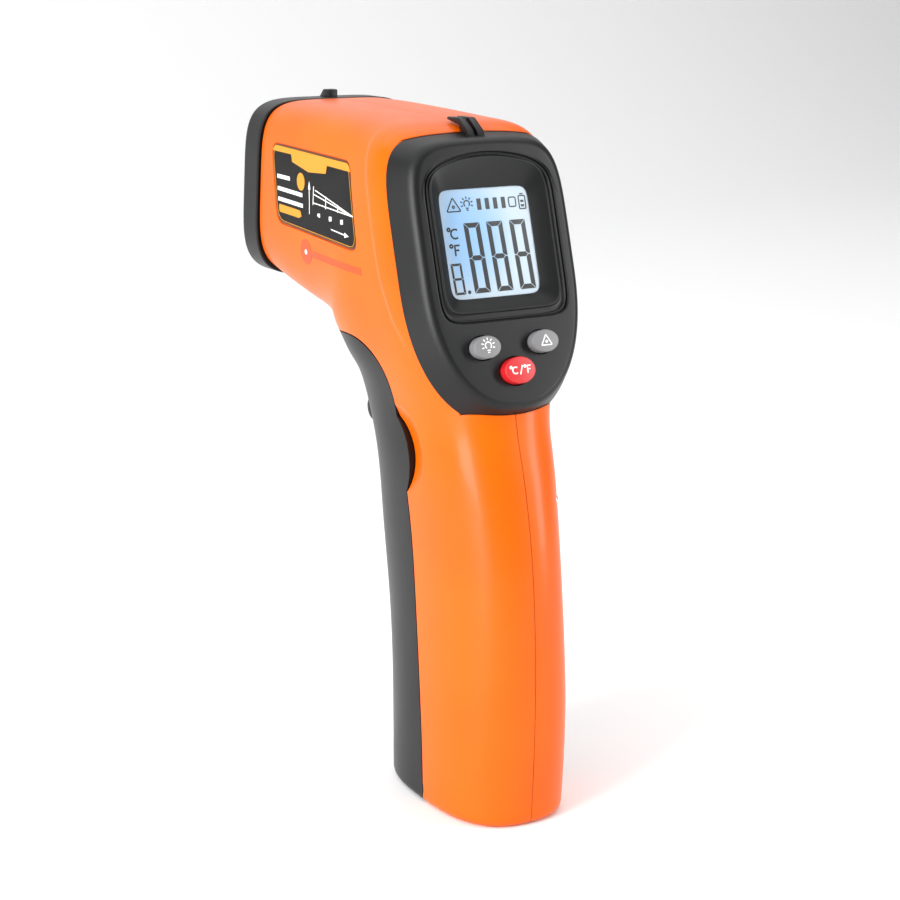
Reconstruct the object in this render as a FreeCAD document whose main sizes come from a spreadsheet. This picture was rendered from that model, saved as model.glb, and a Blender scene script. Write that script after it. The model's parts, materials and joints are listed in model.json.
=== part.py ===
"""Pistol-shaped infrared thermometer, as a parametric FreeCAD document.

Units are millimetres. +Z is up, +Y points out of the nose and -Y is the user's side, where the
display is. The origin is the centre of the bounding box's base, under the handle and the nose.
"""
import FreeCAD, Part
import os
from math import cos, pi, sin

import Sketcher
from FreeCAD import Placement, Rotation, Vector

NAME = "InfraredThermometer"
doc = FreeCAD.newDocument(NAME)

# ---------------------------------------------------------------- driving dimensions
DIMENSIONS = [
    # alias, value, meaning
    ("Wall", 2.2, "wall of the orange half shells"),
    ("DoorWall", 1.8, "wall of the battery door"),
    ("Gap", 0.3, "running gap round moving covers"),
    ("NoseSlant", 6.8, "lean of the nose face, its foot forward, degrees"),
    ("NoseCentreY", 49.9, "centre of the nose face"),
    ("NoseCentreZ", 130.1, "centre of the nose face"),
    ("NoseDepth", 8.5, "depth of the black nose ring"),
    ("NoseHalfWidth", 20.3, "nose ring, half its width"),
    ("NoseHalfHeight", 21.3, "nose ring, half its height"),
    ("LensDrop", 2.2, "infrared axis below the centre of the nose face"),
    ("LaserRise", 12.7, "laser axis above the centre of the nose face"),
    ("ApertureRadius", 8.2, "infrared aperture"),
    ("LensRadius", 7.0, "infrared lens"),
    ("TubeRadius", 9.0, "optical tube"),
    ("TubeLength", 32.0, "optical tube"),
    ("LaserRadius", 3.2, "laser module"),
    ("LaserLength", 14.0, "laser module"),
    ("DisplayTilt", 16.4, "display leans back from upright, degrees"),
    ("DisplayY", -39.2, "datum of the display face"),
    ("DisplayZ", 109.3, "datum of the display face"),
    ("BezelDepth", 6.4, "depth of the display bezel's skirt"),
    ("BezelFace", 2.2, "thickness of the display bezel's face"),
    ("BezelHalfWidth", 18.3, "display face, half its width"),
    ("BezelFlare", 3.1, "how far the skirt flares past the face"),
    ("BezelTop", 39.0, "top of the display face above its datum"),
    ("BezelBottom", -17.6, "bottom of the display face below its datum"),
    ("WindowWidth", 28.0, "opening of the display window at its rim"),
    ("WindowHeight", 31.5, "opening of the display window at its rim"),
    ("WindowCentre", 18.0, "centre of the window above the display datum"),
    ("GlassWidth", 26.6, "liquid crystal glass"),
    ("GlassHeight", 31.0, "liquid crystal glass"),
    ("BoardDepth", 9.0, "front of the main board behind the display face"),
    ("BoardThickness", 1.6, "main board"),
    ("ButtonTravel", 0.8, "stroke of a button"),
    ("ButtonSpread", 7.1, "grey buttons left and right of the centre"),
    ("GreyButtonWidth", 6.5, "grey button"),
    ("GreyButtonHeight", 4.8, "grey button"),
    ("RedButtonWidth", 7.4, "red button"),
    ("RedButtonHeight", 5.7, "red button"),
    ("GreyRow", -4.2, "row of the grey buttons on the display face"),
    ("RedRow", -9.7, "row of the red button on the display face"),
    ("ButtonProud", 2.3, "how far the buttons stand out of the face"),
    ("TriggerWidth", 9.6, "trigger"),
    ("TriggerPivotY", 3.5, "trigger pin"),
    ("TriggerPivotZ", 98.3, "trigger pin"),
    ("PinRadius", 1.2, "trigger and hinge pins"),
    ("HingeY", -24.4, "battery door pin"),
    ("HingeZ", 3.6, "battery door pin"),
    ("KnuckleRadius", 2.3, "battery door knuckles"),
    ("CellRadius", 5.2, "AAA cell"),
    ("CellLength", 43.3, "AAA cell without its nub"),
    ("CellSpacing", 10.7, "between the axes of the cells"),
    ("CellY", -21.6, "axes of the cells"),
    ("CellBase", 12.4, "underside of the cells"),
    ("LabelThickness", 0.3, "printed side label"),
    ("ScrewRadius", 1.0, "shell screw"),
    ("ScrewHeadRadius", 2.1, "head of a shell screw"),
    ("ScrewHeadHeight", 1.8, "head of a shell screw"),
    ("ScrewHeadSeat", 9.0, "seat of the screw heads, right of the middle plane"),
    ("ScrewReach", 8.5, "reach of the screws, left of the middle plane"),
    ("BossRadius", 3.5, "screw boss"),
    ("HeelRadius", 3.6, "round heel of the battery door about its hinge pin"),
    ("BezelWall", 1.9, "side wall of the display bezel"),
    ("CanRadius", 4.1, "thermopile can"),
    ("CanHeight", 4.4, "thermopile can"),
    ("CanFlangeRadius", 4.6, "flange of the thermopile can"),
    ("SensorBoardSide", 20.0, "sensor board"),
    ("LaserWindowRadius", 2.55, "laser window"),
    ("LensThickness", 1.2, "infrared lens"),
    ("WindowLensWidth", 26.0, "clear display window"),
    ("WindowLensHeight", 28.0, "clear display window"),
    ("WindowLensThickness", 0.95, "clear display window"),
    ("GlassThickness", 1.9, "liquid crystal glass"),
    ("GuideThickness", 2.5, "light guide behind the glass"),
    ("ChipSide", 11.0, "chip under its drop of resin"),
    ("BoardScrewRadius", 0.8, "board screw"),
    ("BoardScrewLength", 5.6, "board screw"),
    ("BoardScrewHead", 1.5, "head of a board screw"),
    ("DomeRadius", 2.1, "dome of the button mat"),
    ("SwitchWidth", 6.0, "trigger switch"),
    ("SwitchDepth", 3.9, "trigger switch"),
    ("SwitchHeight", 6.0, "trigger switch"),
    ("SpringRadius", 1.9, "trigger spring"),
    ("SpringLength", 8.0, "trigger spring"),
    ("TriggerPinLength", 15.0, "trigger pin"),
    ("DoorPinLength", 18.4, "battery door pin"),
    ("NubRadius", 1.9, "nub of a cell"),
    ("NubHeight", 0.9, "nub of a cell"),
    ("ContactWide", 3.6, "wide end of a contact spring"),
    ("ContactNarrow", 2.0, "narrow end of a contact spring"),
    ("ContactHeight", 3.0, "contact spring"),
    ("PlateSide", 7.0, "contact plate"),
    ("PlateThickness", 0.5, "contact plate"),
    ("TrayWidth", 22.8, "battery tray"),
    ("TrayDepth", 10.6, "battery tray"),
    ("TrayHeight", 53.3, "battery tray"),
    ("TrayWall", 0.8, "side wall of the battery tray"),
]

sheet = doc.addObject("Spreadsheet::Sheet", "Dims")
for row, (alias, value, meaning) in enumerate(DIMENSIONS, start=1):
    sheet.set("A%d" % row, meaning)
    sheet.set("B%d" % row, str(value))
    sheet.setAlias("B%d" % row, alias)
doc.recompute()


def dim(alias):
    """Value of a driving dimension."""
    return float(sheet.get(alias))


# ---------------------------------------------------------------- frames
X_AXIS = Vector(1, 0, 0)
Y_AXIS = Vector(0, 1, 0)
Z_AXIS = Vector(0, 0, 1)
FAR = 200.0
SECTION_POINTS = 40
ALONG_X = Rotation(Z_AXIS, X_AXIS)

# Display frame: x to the user's right, y up the face, z out of the face towards the user.
DISPLAY = Placement(Vector(0, dim("DisplayY"), dim("DisplayZ")), Rotation(X_AXIS, 90 - dim("DisplayTilt")))
# Nose frame: z forward along the level optical axis, y up, from the centre of the slanted face.
NOSE = Placement(Vector(0, dim("NoseCentreY"), dim("NoseCentreZ")),
                 Rotation(Z_AXIS, 180) * Rotation(X_AXIS, 90))


def moved(frame, x=0.0, y=0.0, z=0.0):
    """The frame, carried to a point given in its own coordinates."""
    return frame * Placement(Vector(x, y, z), Rotation())


# ---------------------------------------------------------------- PartDesign helpers
def new_body(name):
    """An empty PartDesign body."""
    return doc.addObject("PartDesign::Body", name)


def sketch_on(body, name, role="XY_Plane"):
    """An empty sketch on one of the body's own origin planes."""
    sketch = body.newObject("Sketcher::SketchObject", name)
    plane = [item for item in body.Origin.OriginFeatures if item.Role == role][0]
    sketch.AttachmentSupport = [(plane, "")]
    sketch.MapMode = "FlatFace"
    return sketch


def add_rectangle(sketch, width, height, x=0.0, y=0.0):
    """Rectangle centred on (x, y), with its width and height bound to expressions."""
    corners = [Vector(x - 1, y - 1), Vector(x + 1, y - 1), Vector(x + 1, y + 1), Vector(x - 1, y + 1)]
    first = sketch.GeometryCount
    for start, end in zip(corners, corners[1:] + corners[:1]):
        sketch.addGeometry(Part.LineSegment(start, end))
    for side in range(4):
        sketch.addConstraint(Sketcher.Constraint("Coincident", first + side, 2, first + (side + 1) % 4, 1))
        kind = "Vertical" if side % 2 else "Horizontal"
        sketch.addConstraint(Sketcher.Constraint(kind, first + side))
    sides = (("Width", 0, "DistanceX", width), ("Height", 1, "DistanceY", height))
    for name, edge, kind, expression in sides:
        index = sketch.addConstraint(Sketcher.Constraint(kind, first + edge, 1, first + edge, 2, 2.0))
        sketch.renameConstraint(index, "%s%d" % (name, first))
        sketch.setExpression("Constraints.%s%d" % (name, first), expression)
    for name, kind, half, place in (("Left", "DistanceX", width, x), ("Base", "DistanceY", height, y)):
        index = sketch.addConstraint(Sketcher.Constraint(kind, first, 1, place - 1.0))
        sketch.renameConstraint(index, "%s%d" % (name, first))
        sketch.setExpression("Constraints.%s%d" % (name, first), "%s - (%s) / 2" % (place, half))


def add_circle(sketch, radius, x=0.0, y=0.0):
    """Circle at (x, y) whose radius is bound to an expression."""
    index = sketch.addGeometry(Part.Circle(Vector(x, y), Z_AXIS, 1.0))
    for kind, place in (("DistanceX", x), ("DistanceY", y)):
        sketch.addConstraint(Sketcher.Constraint(kind, index, 3, place))
    radius_index = sketch.addConstraint(Sketcher.Constraint("Radius", index, 1.0))
    sketch.renameConstraint(radius_index, "Radius%d" % index)
    sketch.setExpression("Constraints.Radius%d" % index, radius)


def add_ellipse(sketch, width, height, x=0.0, y=0.0):
    """Ellipse with its long axis along x. Its size is read from the sheet, because an ellipse's
    own constraints need helper geometry."""
    sketch.addGeometry(Part.Ellipse(Vector(x + width / 2, y), Vector(x, y + height / 2), Vector(x, y)))


def add_outline(sketch, points):
    """Closed outline of straight sides through hand-placed points."""
    corners = [Vector(*point) for point in points]
    for start, end in zip(corners, corners[1:] + corners[:1]):
        sketch.addGeometry(Part.LineSegment(start, end))


def pad(body, sketch, length, symmetric=False):
    """Pad the sketch along its normal by a bound length."""
    feature = body.newObject("PartDesign::Pad", sketch.Name + "Pad")
    feature.Profile = sketch
    feature.setExpression("Length", length)
    feature.Midplane = symmetric
    doc.recompute()
    return feature


def pocket(body, sketch, depth=None):
    """Cut the sketch into +Z to a bound depth, or right through when no depth is given."""
    before = body.Shape.Volume
    feature = body.newObject("PartDesign::Pocket", sketch.Name + "Pocket")
    feature.Profile = sketch
    if depth is None:
        feature.Type = 1
        feature.Midplane = True
    else:
        feature.Reversed = True
        feature.setExpression("Length", depth)
    doc.recompute()
    if body.Shape.Volume >= before:
        raise RuntimeError(feature.Name + " cuts nothing")
    return feature


def round_corners(body, base, radius, direction=Z_AXIS):
    """Fillet every straight edge of the feature that runs along the direction."""
    edges = []
    for number, edge in enumerate(base.Shape.Edges, start=1):
        if isinstance(edge.Curve, Part.Line) and edge.Curve.Direction.cross(direction).Length < 1e-6:
            edges.append("Edge%d" % number)
    fillet = body.newObject("PartDesign::Fillet", base.Name + "Round")
    fillet.Base = (base, edges)
    fillet.setExpression("Radius", radius)
    doc.recompute()
    return fillet


def slab(name, frame, width, height, thickness, corner=None):
    """Flat plate: a centred rectangle padded along the frame's +Z, with its corners rounded."""
    body = new_body(name)
    outline = sketch_on(body, name + "Outline")
    add_rectangle(outline, width, height)
    plate = pad(body, outline, thickness)
    if corner:
        round_corners(body, plate, corner)
    body.Placement = frame
    return body


# ---------------------------------------------------------------- Part helpers
def feature(name, shape):
    """A document object for a shape that no parametric feature makes."""
    item = doc.addObject("Part::Feature", name)
    item.Shape = shape
    return item


def cylinder(name, radius, length, frame):
    """Cylinder along the frame's +Z whose radius and length are bound to expressions."""
    item = doc.addObject("Part::Cylinder", name)
    item.setExpression("Radius", radius)
    item.setExpression("Height", length)
    item.Placement = frame
    return item


def box(name, low, length, width, height):
    """Box from its low corner, with its sides along x, y and z bound to expressions."""
    item = doc.addObject("Part::Box", name)
    for side, expression in (("Length", length), ("Width", width), ("Height", height)):
        item.setExpression(side, expression)
    item.Placement.Base = Vector(*low)
    return item


def boolean(kind, name, base, tools):
    """Part::Cut, Part::Fuse or Part::Common of a base with one tool after another."""
    result = base
    for number, tool in enumerate(tools, start=1):
        step = doc.addObject("Part::" + kind, name if number == len(tools) else "%sStep%d" % (name, number))
        step.Base = result
        step.Tool = tool
        result = step
    doc.recompute()
    return result


def compound(name, links):
    """Several separate solids as one piece."""
    item = doc.addObject("Part::Compound", name)
    item.Links = links
    return item


PARTS = {}


def keep(node, item):
    """Register an object as the finished piece that gives its node its file."""
    item.Label = node
    PARTS[node] = item
    return item


# ---------------------------------------------------------------- the housing's outer surface
# The housing is one tube that follows the barrel and turns down into the handle. A section is a
# superellipse that stands on the line from its lower (front) end to its upper (rear) end.
# Each row: lower y, lower z, upper y, upper z, half width, lower power, upper power.
HOUSING_SECTIONS = [
    (43.3, 109.6, 38.5, 151.1, 19.6, 4.0, 5.0),
    (32.0, 107.1, 27.5, 151.1, 19.7, 4.0, 5.0),
    (22.8, 105.1, 16.5, 150.9, 19.8, 3.8, 5.0),
    (18.8, 104.0, 1.0, 150.4, 20.0, 3.5, 5.0),
    (16.0, 102.6, -12.2, 149.9, 20.3, 3.2, 5.0),
    (13.9, 100.9, -22.8, 147.3, 20.6, 3.0, 5.5),
    (12.6, 99.6, -28.4, 136.6, 20.6, 3.0, 5.0),
    (11.2, 97.3, -33.0, 122.2, 20.0, 2.8, 4.5),
    (10.2, 95.2, -37.2, 108.5, 18.7, 2.7, 3.6),
    (9.6, 93.4, -40.6, 98.0, 17.2, 2.6, 3.0),
    (8.9, 90.0, -42.1, 90.0, 15.9, 2.6, 2.7),
    (5.3, 79.0, -45.1, 79.0, 15.0, 2.6, 2.6),
    (3.4, 62.0, -48.9, 62.0, 14.3, 2.6, 2.6),
    (0.4, 45.0, -50.6, 45.0, 14.4, 2.6, 2.6),
    (-2.4, 25.0, -51.0, 25.0, 15.0, 2.6, 2.6),
    (-2.6, 10.0, -50.4, 10.0, 15.0, 2.6, 2.6),
    (-2.3, 0.0, -49.8, 0.0, 14.7, 2.6, 2.6),
]


def superellipse_points(centre, across, along, half_width, half_height, lower_power, upper_power):
    """Points of |u/a|^p + |v/b|^p = 1 from the lower end round to the lower end again, with a power
    of its own below and above the middle."""
    points = []
    for step in range(SECTION_POINTS + 1):
        angle = 2 * pi * step / SECTION_POINTS - pi / 2
        power = upper_power if sin(angle) > 0 else lower_power
        width_term = abs(cos(angle) / half_width) ** power
        height_term = abs(sin(angle) / half_height) ** power
        reach = (width_term + height_term) ** (-1 / power)
        sideways = 0.0 if step % (SECTION_POINTS // 2) == 0 else reach * cos(angle)
        points.append(centre + across * sideways + along * reach * sin(angle))
    return points


def superellipse(*shape):
    """Closed smooth wire through the points of a superellipse."""
    curve = Part.BSplineCurve()
    curve.interpolate(Points=superellipse_points(*shape)[:-1], PeriodicFlag=True)
    return Part.Wire(curve.toShape())


def spline_through(points, parameters):
    """Spline through the points at the given parameters."""
    curve = Part.BSplineCurve()
    curve.interpolate(Points=points, Parameters=parameters)
    return curve


def surface_through(rows):
    """Cubic surface through a grid of points: each column is splined along the rows, then each row
    of the resulting poles is splined across. Parameters follow the mean distance between rows."""
    stations = [0.0]
    for row, following in zip(rows, rows[1:]):
        steps = [(b - a).Length for a, b in zip(row, following)]
        stations.append(stations[-1] + sum(steps) / len(steps))
    around = [float(step) for step in range(len(rows[0]))]
    columns = [spline_through(list(column), stations) for column in zip(*rows)]
    pole_rows = zip(*[curve.getPoles() for curve in columns])
    crossing = [spline_through(list(poles), around) for poles in pole_rows]
    surface = Part.BSplineSurface()
    surface.buildFromPolesMultsKnots(
        [curve.getPoles() for curve in crossing], columns[0].getMultiplicities(),
        crossing[0].getMultiplicities(), columns[0].getKnots(), crossing[0].getKnots(), False, False, 3, 3)
    return surface


def housing_solid(inset=0.0, floor=0.0, reach=0.0):
    """The housing's outer form, shrunk by an inset, with its floor raised and its nose end moved
    forward by a reach."""
    rows = []
    last = len(HOUSING_SECTIONS) - 1
    for number, row in enumerate(HOUSING_SECTIONS):
        lower_y, lower_z, upper_y, upper_z, half_width, lower_power, upper_power = row
        shift = Vector(0, reach if number == 0 else 0, floor if number == last else 0)
        lower = Vector(0, lower_y, lower_z) + shift
        upper = Vector(0, upper_y, upper_z) + shift
        half_height = (upper - lower).Length / 2 - inset
        along = (upper - lower).normalize()
        rows.append(superellipse_points((lower + upper) / 2, X_AXIS, along, half_width - inset, half_height,
                                        lower_power, upper_power))
    surface = surface_through(rows)
    first, final = surface.bounds()[:2]
    ends = [Part.Face(Part.Wire(surface.uIso(place).toShape())) for place in (first, final)]
    shell = Part.makeShell([surface.toShape()] + ends)
    shell.sewShape()
    solid = Part.Solid(shell)
    if solid.Volume < 0:
        solid.reverse()
    return solid


def prism_x(points, half_width=FAR / 2, smooth=False, radius=0.0):
    """Solid between x = -half_width and +half_width over a closed outline given as (y, z).

    With smooth, the points are joined by one spline and closed by a straight side."""
    outline = [Vector(-half_width, y, z) for y, z in points]
    if smooth:
        curve = Part.BSplineCurve()
        curve.interpolate(Points=outline[:-2])
        edges = [curve.toShape()]
        corners = [outline[-3]] + outline[-2:] + [outline[0]]
        edges += [Part.LineSegment(a, b).toShape() for a, b in zip(corners, corners[1:])]
        wire = Part.Wire(edges)
    else:
        wire = Part.makePolygon(outline + outline[:1])
    solid = Part.Face(wire).extrude(X_AXIS * 2 * half_width)
    if radius:
        corners = [e for e in solid.Edges if abs(e.tangentAt(e.FirstParameter).x) > 0.999]
        solid = solid.makeFillet(radius, corners)
    return solid


def ball(radius, x, y, z):
    """Sphere about a point."""
    return Part.makeSphere(radius, Vector(x, y, z))


def rod_x(radius, low, high, y, z):
    """Cylinder along x from low to high."""
    return Part.makeCylinder(radius, high - low, Vector(low, y, z), X_AXIS)


wall = dim("Wall")
door_wall = dim("DoorWall")
gap = dim("Gap")
outer = housing_solid()
inner = housing_solid(wall, wall, 3.0)

# ---------------------------------------------------------------- the display bezel's envelope
BEZEL_POWERS = (2.3, 6.0)


def bezel_outline(depth, grow):
    """Shield-shaped outline of the display bezel at a depth behind its face."""
    top = dim("BezelTop") + grow
    bottom = dim("BezelBottom") - grow
    centre = DISPLAY.multVec(Vector(0, (top + bottom) / 2, -depth))
    up = DISPLAY.Rotation.multVec(Y_AXIS)
    half_height = (top - bottom) / 2
    return superellipse(centre, X_AXIS, up, dim("BezelHalfWidth") + grow, half_height, *BEZEL_POWERS)


flare = dim("BezelFlare")
bezel_depth = dim("BezelDepth")
bezel_face = dim("BezelFace")
bezel_wall = dim("BezelWall")
bezel_envelope = Part.makeLoft([bezel_outline(0, 0), bezel_outline(bezel_depth, flare)], True, True)
inner_grow = flare * bezel_face / bezel_depth - bezel_wall
bezel_hollow = Part.makeLoft(
    [bezel_outline(bezel_face, inner_grow), bezel_outline(bezel_depth + 0.5, flare - bezel_wall)], True, True)

# ---------------------------------------------------------------- the battery door's outline
# The seam between the black door and the orange shells, from under the barrel to the base.
DOOR_SEAM = [(20.0, 103.2), (0.0, 103.0), (-10.0, 101.8), (-16.0, 96.8), (-18.3, 88.0), (-21.2, 70.0),
             (-24.4, 46.0), (-27.3, 25.0), (-27.4, -3.0), (60.0, -3.0), (60.0, 103.2)]
EAR_CENTRE = (-10.2, 77.2)
EAR_RADIUS = 12.5
DISH_CENTRE = (-19.8, 78.6)
DISH_RADIUS = 26.0
DISH_OFFSET = 39.3

door_region = prism_x(DOOR_SEAM, smooth=True)
ear = rod_x(EAR_RADIUS, -FAR / 2, FAR / 2, *EAR_CENTRE)
ear_room = rod_x(EAR_RADIUS + gap, -FAR / 2, FAR / 2, *EAR_CENTRE)

# ---------------------------------------------------------------- side labels
LABEL_OUTLINE = [(34.0, 142.0), (-6.0, 141.0), (-10.2, 122.2), (31.6, 124.0)]
LABEL_CORNER = 3.2
label_seat = 0.1 + dim("LabelThickness")


def grown(points, amount):
    """Outline moved outwards from its middle by about the amount on every side."""
    middle_y = sum(point[0] for point in points) / len(points)
    middle_z = sum(point[1] for point in points) / len(points)
    return [(y + (amount if y > middle_y else -amount), z + (amount if z > middle_z else -amount))
            for y, z in points]


seat_form = outer.cut(housing_solid(label_seat, 0.0, 3.0))
label_recess = seat_form.common(prism_x(grown(LABEL_OUTLINE, 0.3), radius=LABEL_CORNER + 0.3))
label_form = housing_solid(label_seat - dim("LabelThickness")).cut(housing_solid(label_seat, 0.0, 3.0))
labels = label_form.common(prism_x(LABEL_OUTLINE, radius=LABEL_CORNER))

# ---------------------------------------------------------------- half shells
# Screw places as (y, z); the heads sit in the right half.
SHELL_SCREWS = [(4.0, 112.5), (0.0, 144.0), (-41.0, 70.0), (-44.0, 14.0)]
head_seat = dim("ScrewHeadSeat")
screw_radius = dim("ScrewRadius")
THREAD_GRIP = 0.05
SHAFT_ROOM = 0.3

body = outer.cut(inner)
for side in (-1, 1):
    body = body.fuse(outer.common(ball(DISH_RADIUS + wall, side * DISH_OFFSET, *DISH_CENTRE)))
    body = body.cut(ball(DISH_RADIUS, side * DISH_OFFSET, *DISH_CENTRE))
for y, z in SHELL_SCREWS:
    body = body.fuse(outer.common(rod_x(dim("BossRadius"), -FAR / 2, FAR / 2, y, z)))
    body = body.cut(rod_x(screw_radius + THREAD_GRIP, -head_seat, 0, y, z))
    body = body.cut(rod_x(screw_radius + SHAFT_ROOM, 0, head_seat, y, z))
    body = body.cut(rod_x(dim("ScrewHeadRadius") + SHAFT_ROOM, head_seat, FAR / 2, y, z))

# Room in the rear walls for the display stack, the main board and the button tongue, as boxes in
# the display frame: half width, low y, high y, low depth, high depth.
ROOMS = [(14.7, -0.4, 34.5, 6.0, 9.2), (15.2, 2.0, 37.0, 8.9, 10.9), (10.8, -13.4, 2.5, 6.0, 10.9)]


def display_room(half_width, low, high, shallow, deep):
    room = Part.makeBox(2 * half_width, high - low, deep - shallow, Vector(-half_width, low, -deep))
    room.Placement = DISPLAY
    return room


# The lug that carries the middle of the battery door's hinge pin.
hinge_y = dim("HingeY")
hinge_z = dim("HingeZ")
knuckle = dim("KnuckleRadius")
heel = dim("HeelRadius")
heel_room = rod_x(heel + gap, -FAR / 2, FAR / 2, hinge_y, hinge_z)
LUG_HALF_WIDTH = 3.0
hinge_lug = rod_x(knuckle, -LUG_HALF_WIDTH, LUG_HALF_WIDTH, hinge_y, hinge_z).fuse(
    Part.makeBox(2 * LUG_HALF_WIDTH, 8.0, hinge_z + knuckle - 1.0,
                 Vector(-LUG_HALF_WIDTH, hinge_y - 8.0, 1.0)))
hinge_lug = hinge_lug.cut(rod_x(dim("PinRadius") + 0.02, -FAR / 2, FAR / 2, hinge_y, hinge_z))

body = body.cut(door_region).cut(ear_room).cut(heel_room)
body = body.cut(bezel_envelope).cut(label_recess).fuse(hinge_lug)
for room in ROOMS:
    body = body.cut(display_room(*room))
for side, low in (("left", -FAR), ("right", 0.0)):
    half_space = Part.makeBox(FAR, 2 * FAR, 2 * FAR, Vector(low, -FAR, -FAR))
    keep(side + "_shell", feature(side + "_shell", body.common(half_space).removeSplitter()))
    keep(side + "_label", feature(side + "_label", labels.common(half_space)))


def shell_screw(number, y, z):
    """Pan-head screw driven from the right."""
    shaft = cylinder("ScrewShaft%d" % number, "Dims.ScrewRadius", "Dims.ScrewHeadSeat + Dims.ScrewReach",
                     Placement(Vector(-dim("ScrewReach"), y, z), ALONG_X))
    head = cylinder("ScrewHead%d" % number, "Dims.ScrewHeadRadius", "Dims.ScrewHeadHeight",
                    Placement(Vector(head_seat, y, z), ALONG_X))
    return boolean("Fuse", "ShellScrew%d" % number, shaft, [head])


shell_screws = [shell_screw(number, y, z) for number, (y, z) in enumerate(SHELL_SCREWS)]
keep("shell_screws", compound("ShellScrews", shell_screws))

# ---------------------------------------------------------------- nose
nose_depth = dim("NoseDepth")
lens_y = -dim("LensDrop")
laser_y = dim("LaserRise")
SLEEVE_DEPTH = 5.0
SLEEVE_INSET = 3.3
NOSE_HOLLOW_INSET = 4.9
NOSE_FACE = 3.0
NOSE_EDGE = 1.6
NOSE_POWERS = (4.2, 5.2)
LASER_HOLE_RADIUS = 2.6


def nose_outline(z, inset):
    """Outline of the nose ring, parallel to the slanted face, at a place along the optical axis."""
    half_width = dim("NoseHalfWidth") - inset
    half_height = dim("NoseHalfHeight") - inset
    centre = NOSE.multVec(Vector(0, 0, z))
    up = Rotation(X_AXIS, dim("NoseSlant")).multVec(Z_AXIS)
    return superellipse(centre, X_AXIS, up, half_width, half_height, *NOSE_POWERS)


nose_rear = -nose_depth - SLEEVE_DEPTH
ring = Part.makeLoft([nose_outline(-nose_depth, 0.2), nose_outline(-NOSE_EDGE, 0.0), nose_outline(0, 1.0)],
                     True, True)
sleeve = Part.makeLoft([nose_outline(nose_rear, SLEEVE_INSET), nose_outline(-nose_depth, SLEEVE_INSET)],
                       True, True)
nose_hollow = Part.makeLoft([nose_outline(nose_rear - 1, NOSE_HOLLOW_INSET),
                             nose_outline(-NOSE_FACE, NOSE_HOLLOW_INSET)], True, True)


def nose_rod(radius, y, low, high):
    """Cylinder parallel to the optical axis, given in the nose frame."""
    rod = Part.makeCylinder(radius, high - low, Vector(0, y, low), Z_AXIS)
    rod.Placement = NOSE
    return rod


FRONT_SIGHT = [(41.3, 149.0), (41.3, 153.0), (44.0, 153.0), (46.2, 151.0), (46.2, 149.0)]
FRONT_SIGHT_HALF_WIDTH = 1.3
nose = ring.fuse(sleeve).cut(nose_hollow).fuse(prism_x(FRONT_SIGHT, FRONT_SIGHT_HALF_WIDTH))
nose = nose.cut(nose_rod(dim("ApertureRadius"), lens_y, -20, 5))
nose = nose.cut(nose_rod(LASER_HOLE_RADIUS, laser_y, -20, 5))
keep("nose_bezel", feature("NoseBezel", nose.removeSplitter()))

TUBE_FRONT = -4.2
tube_rear = TUBE_FRONT - dim("TubeLength")
tube = cylinder("TubeOuter", "Dims.TubeRadius", "Dims.TubeLength",
                moved(NOSE, 0, lens_y, tube_rear))
bore = cylinder("TubeBore", "Dims.LensRadius - 0.6", "Dims.TubeLength + 2",
                moved(NOSE, 0, lens_y, tube_rear - 1))
lens_seat = cylinder("LensSeat", "Dims.LensRadius + 0.05", "Dims.LensThickness + 0.4",
                     moved(NOSE, 0, lens_y, TUBE_FRONT - 1.5))
keep("optical_tube", boolean("Cut", "OpticalTube", tube, [bore, lens_seat]))
keep("infrared_lens", cylinder("InfraredLens", "Dims.LensRadius", "Dims.LensThickness",
                               moved(NOSE, 0, lens_y, TUBE_FRONT - 1.45)))

can_back = tube_rear + 0.2
can = cylinder("CanCap", "Dims.CanRadius", "Dims.CanHeight", moved(NOSE, 0, lens_y, can_back))
flange = cylinder("CanFlange", "Dims.CanFlangeRadius", "0.6", moved(NOSE, 0, lens_y, can_back))
keep("thermopile_can", boolean("Fuse", "ThermopileCan", can, [flange]))
keep("sensor_board", slab("SensorBoard", moved(NOSE, 0, lens_y, can_back - 1.5),
                          "Dims.SensorBoardSide", "Dims.SensorBoardSide", "1.2", "2"))

LASER_FRONT = -5.4
laser_back = LASER_FRONT - dim("LaserLength")
barrel = cylinder("LaserBarrel", "Dims.LaserRadius", "Dims.LaserLength",
                  moved(NOSE, 0, laser_y, laser_back))
hole = cylinder("LaserBore", "Dims.LaserRadius / 2", "6", moved(NOSE, 0, laser_y, LASER_FRONT - 5))
keep("laser_module", boolean("Cut", "LaserModule", barrel, [hole]))
keep("laser_window", cylinder("LaserWindow", "Dims.LaserWindowRadius", "0.8", moved(NOSE, 0, laser_y, -3.4)))

# ---------------------------------------------------------------- display bezel with rear sight
window_centre = dim("WindowCentre")
WINDOW_FLOOR_WIDTH = 22.4
WINDOW_FLOOR_HEIGHT = 24.4


def display_rectangle(width, height, z, y):
    """Rectangular wire on the display frame."""
    signs = ((-1, -1), (1, -1), (1, 1), (-1, 1))
    corners = [Vector(across * width / 2, y + rise * height / 2, z) for across, rise in signs]
    return Part.makePolygon([DISPLAY.multVec(corner) for corner in corners + corners[:1]])


def display_ellipse(width, height, x, y, low, high):
    """Elliptical rod that stands on the display frame."""
    curve = Part.Ellipse(Vector(x + width / 2, y, low), Vector(x, y + height / 2, low), Vector(x, y, low))
    rod = Part.Face(Part.Wire(curve.toShape())).extrude(Vector(0, 0, high - low))
    rod.Placement = DISPLAY
    return rod


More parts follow.
